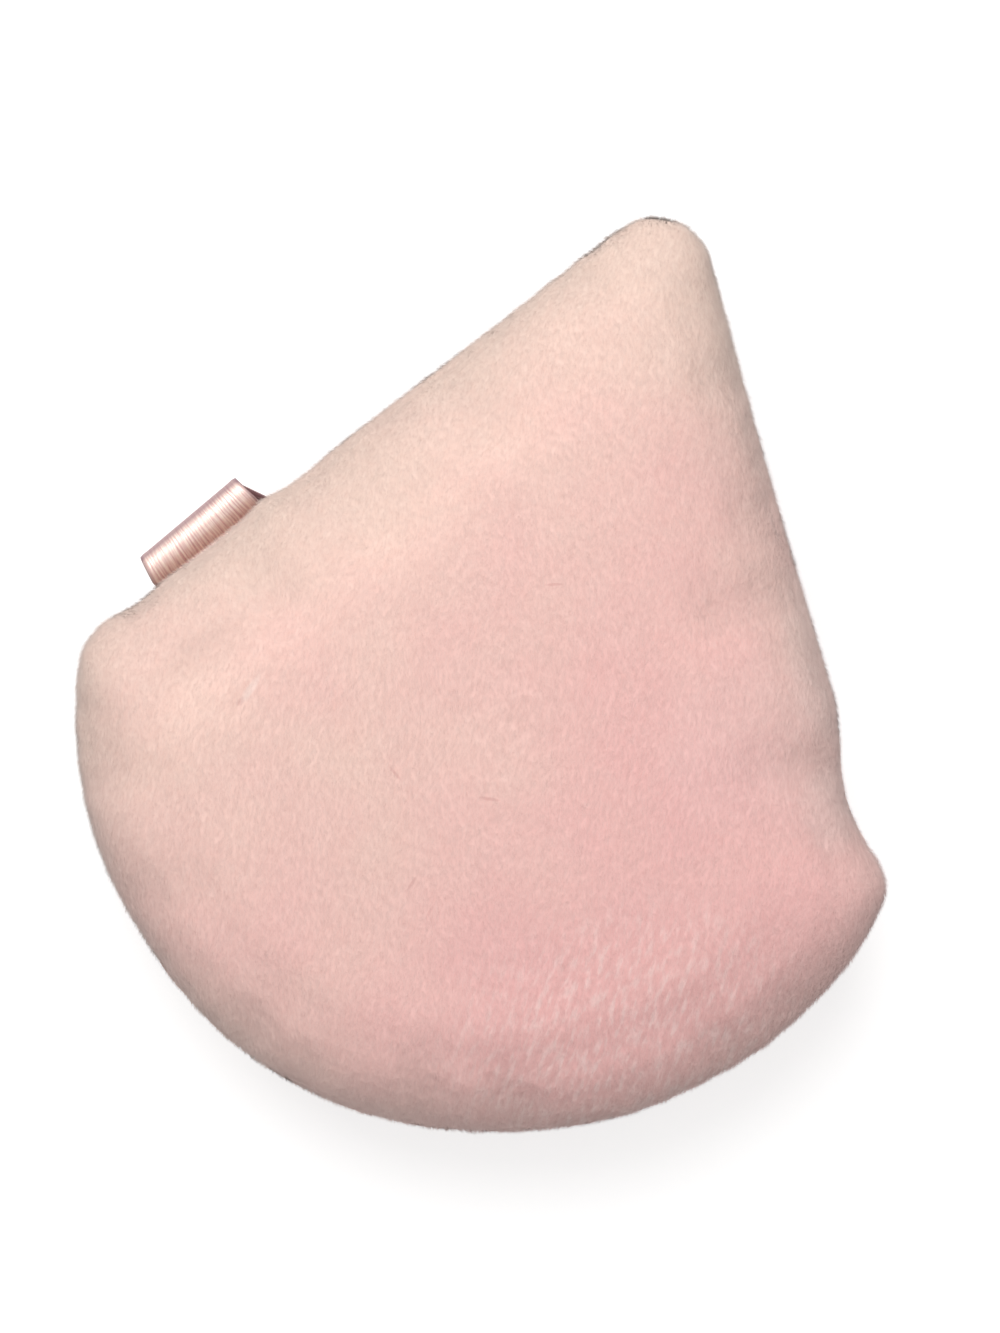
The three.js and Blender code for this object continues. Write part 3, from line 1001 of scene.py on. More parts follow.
@dataclass
class Stuffing:
    """Lets the two covers swell over their filling, as a cloth that is a little too large."""

    front: Face
    back: Face
    slack: float = 0.9
    slack_fade: tuple[float, float] = (0.02, 0.30)
    excess: float = 0.022
    voxel: float = 1.7
    cap: float = 1.5
    enlarge: float = 10.0
    frames: int = 20
    quality: int = 6
    pressure: float = 4.0
    held_height: tuple[float, float] = (1.2, 3.2)
    edge_fade: float = 0.12
    reach: float = 2.6
    neighbours: int = 10

    def _drawn_in(self, face: Face) -> Points:
        """The face drawn in by the slack, which fades out toward its edge."""
        inward = smooth_share(face.ring_share(), *self.slack_fade) * self.slack
        return face.places - face.normals * inward[:, None, None]

    def _bag(self) -> tuple[Points, Faces]:
        """Both faces as one closed bag, with a third of the rings and a quarter of the columns."""
        return lofted([self.back.crown(self.slack)[None],
                       *self._drawn_in(self.back)[::-3, ::4],
                       *self._drawn_in(self.front)[::3, ::4],
                       self.front.crown(self.slack)[None]])

    def _held(self, places: Points) -> Points:
        """How firmly each place is held: at the seam, and under the strap and the weight."""
        plan = self.front.plan
        near_seam = 1 - smooth_share(np.abs(places[:, 2]), *self.held_height)
        under = plan.pressed(places[:, 0], places[:, 1]) / plan.press * (places[:, 2] < -2)
        return np.maximum(near_seam, under)

    def settle(self) -> tuple[Points, Points]:
        """Runs the simulation.

        Returns:
            Places on the bag, and how far each moved, both in millimetres.
        """
        places, faces = self._bag()
        bag = make_object("bag", places * self.enlarge, faces)
        remesh = bag.modifiers.new("even_grid", "REMESH")
        remesh.mode, remesh.voxel_size = "VOXEL", self.voxel * self.enlarge * MM
        even = bpy.data.meshes.new_from_object(evaluated(bag))
        bag.modifiers.clear()
        bag.data = even
        start = self._read(even)
        held = bag.vertex_groups.new(name="held")
        for i, weight in enumerate(self._held(start)):
            held.add([i], float(weight), "REPLACE")
        cloth = bag.modifiers.new("cloth", "CLOTH")
        settings = cloth.settings
        settings.use_pressure, settings.uniform_pressure_force = True, self.pressure
        settings.effector_weights.gravity = 0.0
        settings.vertex_group_mass = "held"
        settings.shrink_min = -self.excess
        settings.quality = self.quality
        cloth.point_cache.frame_start, cloth.point_cache.frame_end = 1, self.frames
        for frame in range(1, self.frames + 1):
            bpy.context.scene.frame_set(frame)
        travel = self._read(evaluated(bag).to_mesh()) - start
        bpy.context.scene.frame_set(1)
        bpy.data.objects.remove(bag)
        length = np.linalg.norm(travel, axis=1, keepdims=True)
        travel *= np.minimum(1, self.cap / np.maximum(length, 1e-9))
        log.info("stuffing: %d points moved %.2f mm on average, %.2f at most",
                 len(start), float(length.mean()), float(length.max()))
        return start, travel

    def _read(self, mesh: bpy.types.Mesh) -> Points:
        """A mesh's vertices in millimetres at the puff's own size."""
        return read_rows(mesh.vertices, "co").astype(float) / (self.enlarge * MM)

    def shape(self, face: Face, start: Points, travel: Points) -> None:
        """Gives a face the unevenness of the settled cloth, at the fullness it was cut with.

        Args:
            face: The front or the back.
            start: Places on the bag.
            travel: How far each moved.
        """
        tree = KDTree(len(start))
        for i, place in enumerate(start):
            tree.insert(place, i)
        tree.balance()
        begun = self._drawn_in(face)
        moved = np.empty_like(begun).reshape(-1, 3)
        for i, place in enumerate(begun.reshape(-1, 3)):
            found = tree.find_n(place, self.neighbours)
            weight = np.exp(-(np.array([f[2] for f in found]) / self.reach) ** 2)
            moved[i] = weight @ travel[[f[1] for f in found]] / weight.sum()
        free = smooth_share(face.ring_share(), 0.0, self.edge_fade)
        settled = begun + moved.reshape(begun.shape) * free[:, None, None]
        gained = ((settled - face.places) * face.normals).sum(-1).mean(1)
        face.reshape(settled - face.normals * gained[:, None, None])


# -------------------------------------------------------------------- the covers


@dataclass(frozen=True)
class Dent(Oval):
    """A soft hollow, or a fold if it is long, in the front cover."""

    deep: float

    def depth(self, x: Points, y: Points) -> Points:
        """How deep the hollow is at places of the frame."""
        squares = [((x - self.x) * a + (y - self.y) * b) ** 2 for a, b in self.axes()]
        return self.deep * np.exp(-sum(squares))


@dataclass
class Cover:
    """One velour cover: its knitted ground as a closed shell, and the pile on it."""

    name: str
    face: Face
    velour: Velour
    dents: tuple[Dent, ...] = ()
    gather_pitch: float = 3.1
    gather_depth: float = 0.07
    gather_ring: float = 0.10
    mouth: float = 0.16
    mouth_ramp: float = 1.2
    flattened: float = 0.62
    flattened_ramp: float = 1.5
    lip_rings: int = 7
    inner_step: int = 4

    def _ground(self) -> Points:
        """The outer rings of the knitted ground, under the pile."""
        face, plan = self.face, self.face.plan
        x, y = (face.places[..., k] + plan.shift()[k] for k in (0, 1))
        depth = np.full(x.shape, face.section.pile)
        for dent in self.dents:
            depth += dent.depth(x, y)
        gathers = round(perimeter(face.places[0]) / self.gather_pitch)
        waves = np.arange(x.shape[1])[None] / x.shape[1] * gathers
        uneven = 1 + 0.6 * np.sin(waves * 0.71 + face.sign) + 0.4 * np.sin(waves * 0.23)
        ring = face.ring_share()[:, None]
        fade = np.exp(-((ring - self.gather_ring) / self.gather_ring) ** 2)
        depth += self.gather_depth * fade * uneven * (1 + np.sin(FULL_TURN * waves)) / 2
        return face.places - face.normals * depth[..., None]

    def _gap(self, line: Points) -> Points:
        """Half the gap between the covers, wider where the strap runs in."""
        plan, half = self.face.plan, self.face.plan.strap_width / 2
        near = 1 - smooth_share(plan.from_strap(line), half, half + self.mouth_ramp)
        return self.face.section.half_gap + self.mouth * near

    def _rings(self) -> list[Points]:
        """The shell's rings, from the crown over the lip and the allowance to the inner crown."""
        face, section = self.face, self.face.section
        plan, sign = face.plan, face.sign
        ground = self._ground()
        rings = [pole(ground)[None], *ground[::-1]]
        edge, seam = ground[0, :, :2], plan.seam()
        bottom = plan.edge(sign) - plan.normals(plan.edge(sign)) * section.groove
        gap = self._gap(seam)
        for angle in np.linspace(0, QUARTER_TURN, self.lip_rings + 1)[1:]:
            flat = edge + (bottom - edge) * (1 - math.cos(angle))
            height = section.lip + (gap - section.lip) * math.sin(angle)
            rings.append(np.column_stack((flat, sign * height)))
        toward = unit(plan.middle - seam)
        top = np.full(len(seam), section.allowance_top)
        for share, height in ((0.5, gap), (1, gap), (1, top)):
            flat = seam + toward * section.allowance * share
            rings.append(np.column_stack((flat, sign * height)))
        inner = face.layer(section.cover, self.inner_step)
        rings.append((rings[-1] + inner[0]) / 2)
        return [*rings, *inner, face.crown(section.cover)[None]]

    def _pile_share(self, places: Points) -> Points:
        """How long the pile is at each of the shell's points: none on its inner side."""
        face, plan = self.face, self.face.plan
        lips = 1 + (face.rings + self.lip_rings - 1) * plan.count
        pile = (np.arange(len(places)) < lips).astype(float)
        if face.sign < 0:
            under = plan.pressed(places[:, 0], places[:, 1]) * (places[:, 2] < -1) > 0
            past = np.abs(places[:, 1] - plan.strap_middle(places[:, 0])) - plan.strap_width / 2
            near = 1 - smooth_share(past, 0, self.flattened_ramp)
            pile *= 1 - self.flattened * near * under
        return pile

    def build(self, origin: Points) -> bpy.types.Object:
        """Makes the shell and dresses it.

        Args:
            origin: What moves the plan into the frame.

        Returns:
            The cover.
        """
        places, faces = lofted(self._rings())
        finish = self.velour.material(PileLayer.GROUND)
        made = make_object(self.name, places + origin, faces, finish)
        layer = made.data.attributes.new("pile", "FLOAT", "POINT")
        layer.data.foreach_set("value", self._pile_share(places).astype(np.float32))
        return made


class NapZone(Enum):
    """The bands, from the base to the tip, in which a cover's pile is made."""

    BASE = (-40.0, -20.3)
    LOWER = (-20.3, -6.7)
    UPPER = (-6.7, 8.0)
    TIP = (8.0, 40.0)


@dataclass
class Pile:
    """Velour fibres over a cover, grown by Geometry Nodes."""

    cover: bpy.types.Object
    velour: Velour
    density: float = 34.0
    length: float = 0.55
    width: float = 0.07
    thickness: float = 0.25
    lean: float = 1.9
    spread: float = 0.6
    stray: float = 0.45
    roll: float = 0.15
    nap: tuple[float, float, float] = (0.15, -1.0, 0.0)
    swirl: float = 1.6
    ruffle: float = 1.1
    bare: float = 0.05
    lowest: float = 0.02
    seed: int = 7

    def _way(self, tree: Grower, scaled: Socket, normal: Socket) -> Socket:
        """Which way each fibre points: along the swirled and ruffled nap, and a little astray."""
        nap: Any = self.nap
        for scale, detail, share in ((0.16, 3.0, self.swirl), (1.1, 2.0, self.ruffle)):
            cloud = tree.cloud(scaled, scale, detail)
            nap = tree.vector("ADD", nap, tree.vector("SCALE", cloud, share))
        rising = tree.vector("SCALE", normal, tree.dot(nap, normal))
        nap = tree.vector("NORMALIZE", tree.vector("SUBTRACT", nap, rising))
        lain = (tree.chance(-1.0, 9) * tree.given("Spread") + 1) * tree.given("Lean")
        own = tree.link("FunctionNodeRandomValue", {"data_type": "FLOAT_VECTOR"}, {
            "Min": (-0.5, -0.5, -0.5), "Max": (0.5, 0.5, 0.5),
            "ID": tree.link("GeometryNodeInputIndex"), "Seed": tree.inputs["Seed"]}, "Value")
        astray = tree.vector("SCALE", own, tree.given("Stray"))
        leaning = tree.vector("ADD", tree.vector("SCALE", nap, lain), astray)
        return tree.vector("ADD", normal, leaning)

    def _grower(self) -> Grower:
        """Builds the tree that scatters leaning spikes over the outer face."""
        numbers = ("Density", "Length", "Width", "Thickness", "Lean", "Spread",
                   "Stray", "Roll", "From", "To")
        tree = Grower("velour_pile", {**dict.fromkeys(numbers, "Float"),
                                      "Seed": "Int", "Finish": "Material"})
        given = tree.inputs
        place = tree.link("GeometryNodeInputPosition")
        parts = tree.add("ShaderNodeSeparateXYZ", None, {0: place}).outputs
        inside = tree.both(tree.compare("GREATER_EQUAL", parts["Y"], given["From"]),
                           tree.compare("LESS_THAN", parts["Y"], given["To"]))
        pile = tree.value("GeometryNodeInputNamedAttribute", {"data_type": "FLOAT"},
                          {"Name": "pile"}, "Attribute")
        roots = tree.add("GeometryNodeDistributePointsOnFaces", None, {
            "Mesh": given["Geometry"], "Density": given["Density"], "Seed": given["Seed"],
            "Selection": tree.both(inside, tree.compare("GREATER_THAN", pile, self.bare))}).outputs
        normal = roots["Normal"]
        scaled = tree.vector("SCALE", place, 1 / MM)
        turned = tree.aligned("Z", self._way(tree, scaled, normal), "X", normal)
        spin = tree.link("ShaderNodeCombineXYZ", None,
                         {"Z": tree.chance(-1.0, 5) * tree.given("Roll")})
        turned = tree.link("FunctionNodeRotateRotation", {"rotation_space": "LOCAL"},
                           {"Rotation": turned, "Rotate By": spin})
        tint = tree.chance(0.0, 3)
        long = pile * (0.72 + tint * 0.22 + tree.noise(scaled, 0.45) * 0.34)
        kept = tree.store(roots["Points"], "tint", tint)
        for name, value in (("root", place), ("ground", normal)):
            kept = tree.store(kept, name, value, "FLOAT_VECTOR")
        spike = tree.link("GeometryNodeMeshCone", {"fill_type": "NGON"}, {
            "Vertices": 3, "Radius Top": 0.0, "Radius Bottom": tree.given("Width") * 0.5,
            "Depth": given["Length"]}, "Mesh")
        rise = Value(tree, parts["Z"]) / tree.given("Length")
        size = tree.link("ShaderNodeCombineXYZ", None,
                         {"X": given["Thickness"], "Y": 1.0, "Z": long})
        tree.close({"Points": kept, "Instance": tree.store(spike, "along", rise),
                    "Rotation": turned, "Scale": size})
        return tree

    def grow(self) -> list[bpy.types.Object]:
        """Makes the pile, one piece for each zone."""
        grower = self._grower()
        values = {"Density": self.density / MM**2, "Length": self.length * MM,
                  "Width": self.width * MM, "Thickness": self.thickness, "Lean": self.lean,
                  "Spread": self.spread, "Stray": self.stray, "Roll": self.roll,
                  "Finish": self.velour.material(PileLayer.FIBRES)}
        made = []
        for k, zone in enumerate(NapZone):
            low, high = zone.value
            values |= {"From": low * MM, "To": high * MM, "Seed": self.seed + k}
            name = f"{self.cover.name.split('_')[0]}_pile_{zone.name.lower()}"
            fibres = grower.grow(name, self.cover.data, values)
            fibres.visible_shadow = False  # hairs as fine as these let the light through
            self._trim(fibres.data)
            made.append(fibres)
        return made

    def _trim(self, mesh: bpy.types.Mesh) -> None:
        """Presses the fibres on what the puff stands on, maps them, and shades them as cloth."""
        places = read_rows(mesh.vertices, "co")
        places[:, 2] = np.maximum(places[:, 2], self.lowest * MM)
        mesh.vertices.foreach_set("co", places.ravel())
        roots, ground = (read_rows(mesh.attributes[name].data, "vector")
                         for name in ("root", "ground"))
        roots = roots[:, :2]
        low, span = roots.min(0), np.ptp(roots, axis=0).max()
        nudge = (places[:, :2] - roots) * 2.0
        set_map(mesh, 0.02 + 0.96 * (roots + nudge - low) / span)
        for name in ("root", "ground"):
            mesh.attributes.remove(mesh.attributes[name])
        mesh.update()
        mesh.normals_split_custom_set_from_vertices(ground)


# ---------------------------------------------------------------------- the core


@dataclass
class Core:
    """The foam core, with a slot round its edge for the seam allowances."""

    front: Face
    back: Face
    foam: Foam
    skin: float = 1.7
    slot_half: float = 2.3
    slot_rise: float = 0.2
    slot_depth: float = 6.8
    rough: float = 0.03
    seed: int = 5
    thin: int = 2

    def build(self, origin: Points) -> bpy.types.Object:
        """Makes the core.

        Args:
            origin: What moves the plan into the frame.

        Returns:
            The core.
        """
        plan = self.front.plan
        seam = plan.seam()
        inner = (seam + unit(plan.middle - seam) * self.slot_depth)[::self.thin]
        halves = []
        for face in (self.front, self.back):
            outer = [ring for ring in face.layer(self.skin)[:, ::self.thin]
                     if np.abs(ring[:, 2]).mean() > self.slot_half + self.slot_rise]
            level = np.full(len(inner), face.sign * self.slot_half)
            slot, rim = (np.column_stack((flat, level)) for flat in (inner, outer[0][:, :2]))
            halves.append([slot, (slot + rim) / 2, rim, *outer, face.crown(self.skin)[None]])
        places, faces = lofted(halves[0][::-1] + halves[1])
        rough = np.random.default_rng(self.seed).normal(0, self.rough, places.shape)
        return make_object("foam_block", places + rough + origin, faces, self.foam.material())


# --------------------------------------------------------------------- the strap


@dataclass
class Strap:
    """The satin finger strap, in two halves that meet under the middle of the back."""

    back: Face
    satin: Satin
    width: float = 9.8
    thickness: float = 0.3
    standoff: float = 0.475
    tuck: float = 3.4
    mouth: float = 1.0
    overhang: float = 3.0
    fold: float = 0.75
    bend: float = 0.65
    contact: float = 15.0
    arch: float = 0.65
    flare: float = 0.5
    flare_reach: tuple[float, float] = (-0.8, 0.3)
    skew: float = 0.14
    slip: float = 0.8
    near_edge: float = 0.12
    nudge: float = 0.01
    thin: float = 0.8
    hem: tuple[float, float] = (0.86, 0.94)
    hem_edge: float = 0.55
    columns: int = 29
    rows: int = 200

    def _edge_x(self, hand: int, y: Points) -> Points:
        """Where the back's edge crosses a height above the base, on one side.

        The ribbon leaves the left side as a straight line and hugs the right one.

        Args:
            hand: -1 for the left side and 1 for the right one.
            y: The heights.

        Returns:
            One place from left to right for each height.
        """
        plan = self.back.plan
        edge = plan.edge(-1)
        side = edge[(hand * edge[:, 0] > 4) & (edge[:, 1] > 26) & (edge[:, 1] < 60)]
        side = side[np.argsort(side[:, 1])]
        if hand < 0:
            near = np.abs(side[:, 1] - plan.strap_left) < self.width / 3
            return np.polyval(np.polyfit(side[near, 1], side[near, 0], 1), y)
        return np.interp(y, side[:, 1], side[:, 0])

    def _exit(self, hand: int, share: Points, out: float, height: float) -> Points:
        """Points across the strap where it leaves the seam.

        Args:
            hand: -1 for the left side and 1 for the right one.
            share: Where each point is across the strap, from -1 to 1.
            out: How far the points are past the seam.
            height: How far they are above the seam plane.

        Returns:
            The points.
        """
        plan = self.back.plan
        middle = plan.strap_right if hand > 0 else plan.strap_left
        wide = self.width / 2
        if hand < 0 and out > self.flare_reach[0]:
            run = max(out / self.overhang, 0)
            wide += self.flare * float(smooth_share(out, *self.flare_reach)) * (1 - run)
            height += self.arch * math.sin(math.pi * run) * (height > -self.fold)
            out = out * (1 - self.skew * (1 - share) / 2 * (out > 0))
        y = middle + share * wide * math.cos(plan.lean)
        return np.column_stack((self._edge_x(hand, y) + hand * out * math.cos(plan.lean),
                                y + out * math.sin(plan.lean), np.full(len(y), height)))

    def _under(self, angle: float, share: Points) -> Points:
        """Points across the back's face under the strap, from the left edge at 0 to pi."""
        plan = self.back.plan
        hand = -1 if angle < QUARTER_TURN else 1
        edge = self._exit(hand, share, 0, 0)
        near, far = abs(math.cos(angle)), math.sin(angle)
        x = plan.middle[0] + (edge[:, 0] - plan.middle[0]) * near
        reach = math.cos(plan.lean) + (1 - math.cos(plan.lean)) * far
        straight = plan.strap_middle(plan.middle[:1])[0] + share * reach * self.width / 2
        y = edge[:, 1] + (straight - edge[:, 1]) * far + self.slip * near * (hand < 0)
        height = self.back.height(np.column_stack((x, y)))
        if near > 0.9999:
            height[:] = self.back.section.lip
        return np.column_stack((x, y, -height))

    def _on_back(self, angle: float, share: Points) -> Points:
        """The same points, lifted off the back."""
        step = self.nudge
        near = min(max(angle, step), math.pi - step)
        along = self._under(near + step, share) - self._under(near - step, share)
        across = self._under(near, share + step) - self._under(near, share - step)
        return self._under(angle, share) + unit(np.cross(across, along)) * self.standoff

    def _lines(self, share: Points) -> Points:
        """Rows of points across the strap, from its left end to its right end."""
        out = self.overhang - self.fold - self.thickness / 2
        left = [(-self.tuck, 0), (-self.mouth, 0), *((s, 0) for s in np.linspace(0, out, 8)[:-1])]
        left += [(out + self.fold * math.cos(a), self.fold * math.sin(a) - self.fold)
                 for a in np.linspace(QUARTER_TURN, -QUARTER_TURN, 15)]
        under = *np.linspace(math.radians(self.contact), math.pi - self.near_edge, 67), math.pi
        right = [(self.standoff - self.bend + self.bend * math.cos(a),
                  self.bend * math.sin(a) - self.bend) for a in np.linspace(0, QUARTER_TURN, 6)[1:]]
        right += [(-self.mouth, 0), (-self.tuck, 0)]
        return np.stack([*(self._exit(-1, share, *at) for at in left),
                         *(self._on_back(angle, share) for angle in under),
                         *(self._exit(1, share, *at) for at in right)])

    def _halves(self) -> list[Points]:
        """Both halves as even grids of points."""
        grid = self._lines(np.linspace(-1, 1, self.columns))
        middle = grid[:, self.columns // 2]
        marks = running_length(middle)
        across = slice(20, -12)  # the rows that run from the fold to the right side
        halfway = float(np.interp(0, middle[across, 0], marks[across]))
        return [np.stack([resampled(column, marks, np.linspace(first, last, self.rows))
                          for column in grid.swapaxes(0, 1)], 1)
                for first, last in ((0, halfway), (halfway, marks[-1]))]

    def _ribbon(self, name: str, grid: Points, origin: Points,
                material: bpy.types.Material) -> bpy.types.Object:
        """Makes one half as a closed ribbon with thin edges and sharp ends.

        Args:
            name: The half's name.
            grid: The middle of the ribbon's thickness, as rows of points.
            origin: What moves the plan into the frame.
            material: Its finish.

        Returns:
            The half.
        """
        rows, columns = grid.shape[:2]
        normal = unit(np.cross(np.gradient(grid, axis=0), np.gradient(grid, axis=1)))
        share = np.abs(np.linspace(-1, 1, columns))
        half = self.thickness / 2 * (self.thin + (1 - self.thin) * smooth_share(share, *self.hem))
        half[[0, -1]] *= self.hem_edge
        top, under = (grid + s * normal * half[None, :, None] for s in (1, -1))
        places = np.concatenate((top, under[:, ::-1]), 1).reshape(-1, 3)
        loop = 2 * columns
        faces = ring_faces([loop] * rows)
        for start in (0, (rows - 1) * loop):
            cap = [(start + j, start + j + 1, start + loop - 2 - j, start + loop - 1 - j)
                   for j in range(columns - 1)]
            faces += cap if start else [tuple(reversed(f)) for f in cap]
        made = make_object(name, places + origin, outward(places, faces), material)
        for edge in made.data.edges:
            edge.use_edge_sharp = {k // loop for k in edge.vertices} in ({0}, {rows - 1})
        u = np.concatenate((np.linspace(0, 0.5, columns), np.linspace(0.5, 1, columns)))
        v = np.linspace(0, 1, rows)
        set_map(made.data, np.stack((np.tile(u, rows), np.repeat(v, loop)), 1))
        return made

    def build(self, origin: Points) -> list[bpy.types.Object]:
        """Args:
            origin: What moves the plan into the frame.

        Returns:
            The left half and the right half.
        """
        made = []
        for name, grid in zip(("strap_left", "strap_right"), self._halves()):
            length = float(running_length(grid[:, self.columns // 2])[-1])
            start = self.tuck + self.overhang - self.fold - length
            # painted shade over the left half's fold
            crease = (start, start + math.pi * self.fold) if name == "strap_left" else None
            finish = self.satin.material(self.width, length, crease)
            piece = self._ribbon(name, grid, origin, finish)
            log.info("%s: %.1f mm of ribbon", name, length)
            made.append(piece)
        return made


# ------------------------------------------------------------------- the threads


@dataclass
class Thread:
    """Twisted thread, and stitches of it that Geometry Nodes set along a line."""

    yarn: Yarn
    radius: float = 0.15
    pitch: float = 2.4
    dive: float = 0.45
    ply: float = 0.52
    apart: float = 0.85
    blunt: float = 0.7
    sides: int = 5

    def strand(self, line: Points, turns: float) -> tuple[Points, Faces]:
        """Two plies twisted round a line.

        Args:
            line: Points of the line.
            turns: How often the plies go round each other.

        Returns:
            Places and faces of the plies, in millimetres.
        """
        run = unit(np.gradient(line, axis=0))
        side = unit(np.cross(run, np.array((0.31, 0.17, 0.93))))  # a way that no line runs
        lift = np.cross(side, run)
        corner = np.linspace(0, FULL_TURN, self.sides, endpoint=False)
        thick = np.full(len(line), self.radius * self.ply)
        thick[[0, -1]] *= self.blunt
        places: list[Points] = []
        faces: Faces = []
        for k in range(2):
            angle = (np.linspace(0, FULL_TURN * turns, len(line)) + np.pi * k)[:, None]
            reach = self.radius * self.ply * self.apart
            middle = line + (side * np.cos(angle) + lift * np.sin(angle)) * reach
            rings = [m + (np.outer(np.cos(corner), s) + np.outer(np.sin(corner), u)) * size
                     for m, s, u, size in zip(middle, side, lift, thick)]
            body, own = lofted([middle[:1], *rings, middle[-1:]])
            faces += [tuple(k * len(body) + i for i in f) for f in own]
            places.append(body)
        return np.concatenate(places), faces

    def stitch(self) -> bpy.types.Object:
        """One stitch: a bar of thread that dives into the cloth at both ends."""
        half = self.pitch / 2
        along = np.linspace(-half, half, 26)
        dip = -self.dive * smooth_share(np.abs(along), half * 0.55, half)
        line = np.column_stack((along * 0.97, np.zeros_like(along), dip))
        return make_object("stitch", *self.strand(line, 3.5), self.yarn.material())

    @staticmethod
    def _grower() -> Grower:
        """Builds the tree that sets stitches along a line."""
        tree = Grower("stitching", {"Stitch": "Object", "Pitch": "Float", "Up": "Vector",
                                    "Finish": "Material"})
        given = tree.inputs
        line = tree.link("GeometryNodeMeshToCurve", None, {"Mesh": given["Geometry"]})
        spots = tree.add("GeometryNodeCurveToPoints", {"mode": "LENGTH"},
                         {"Curve": line, "Length": given["Pitch"]}).outputs
        stitch = tree.link("GeometryNodeObjectInfo", {"transform_space": "ORIGINAL"},
                           {"Object": given["Stitch"]}, "Geometry")
        tree.close({"Points": spots["Points"], "Instance": stitch,
                    "Rotation": tree.aligned("X", spots["Tangent"], "Z", given["Up"])})
        return tree

    def sew(self, lines: dict[str, tuple[Points, float]]) -> list[bpy.types.Object]:
        """Sets a row of stitches along each line.

        Args:
            lines: For each row's name, its line in millimetres and which way is up there.

        Returns:
            The rows.
        """
        grower, stitch = self._grower(), self.stitch()
        made = []
        for name, (line, up) in lines.items():
            path = bpy.data.meshes.new("path")
            path.from_pydata((line * MM).tolist(), [(i, i + 1) for i in range(len(line) - 1)], [])
            made.append(grower.grow(name, path, {
                "Stitch": stitch, "Pitch": self.pitch * MM, "Up": (0.0, 0.0, up),
                "Finish": stitch.data.materials[0]}))
        bpy.data.objects.remove(stitch)
        return made


@dataclass
class Sewing:
    """The seam's two machine rows, and the ladder stitch that closes the gap at its base."""

    plan: SeamPlan
    yarn: Yarn
    half_opening: float = 21.0
    depth: float = 2.15
    level: float = 1.85
    ladder_depth: float = 0.2
    ladder_rise: float = 0.45
    ladder_pitch: float = 6.0
    ladder_steep: float = 2.2
    ladder_radius: float = 0.13
    ladder_turns: float = 60
    ladder_points: int = 520

    def machine_rows(self, origin: Points) -> list[bpy.types.Object]:
        """The needle's row on the front allowance and the bobbin's on the back one."""
        seam = self.plan.seam()
        marks = running_length(seam)
        sewn = (marks > self.half_opening) & (marks < marks[-1] - self.half_opening)
        lines = {}
        for name, sign in (("needle_stitches", 1), ("bobbin_stitches", -1)):
            line = (self.plan.edge(sign) - self.plan.normals(seam) * self.depth)[sewn]
            level = np.full(len(line), sign * self.level)
            lines[name] = (np.column_stack((line, level)) + origin, sign)
        return Thread(self.yarn).sew(lines)

    def ladder(self, origin: Points) -> bpy.types.Object:
        """The ladder stitch, as one twisted thread that crosses from cover to cover."""
        seam = self.plan.seam()
        groove = seam - self.plan.normals(seam) * self.ladder_depth
        step = float(np.linalg.norm(groove[1] - groove[0]))
        reach = int(self.half_opening / step)
        line = np.roll(groove, reach, 0)[: 2 * reach]
        phase = FULL_TURN * np.arange(len(line)) * step / self.ladder_pitch
        rise = self.ladder_rise * np.clip(np.sin(phase) * self.ladder_steep, -1, 1)
        marks = np.arange(len(line))
        path = resampled(np.column_stack((line, rise)), marks,
                         np.linspace(0, marks[-1], self.ladder_points))
        places, faces = Thread(self.yarn, self.ladder_radius).strand(path, self.ladder_turns)
        log.info("ladder stitch over %.1f mm", 2 * reach * step)
        return make_object("ladder_stitch", places + origin, faces, self.yarn.material())


# -------------------------------------------------------------------- the studio


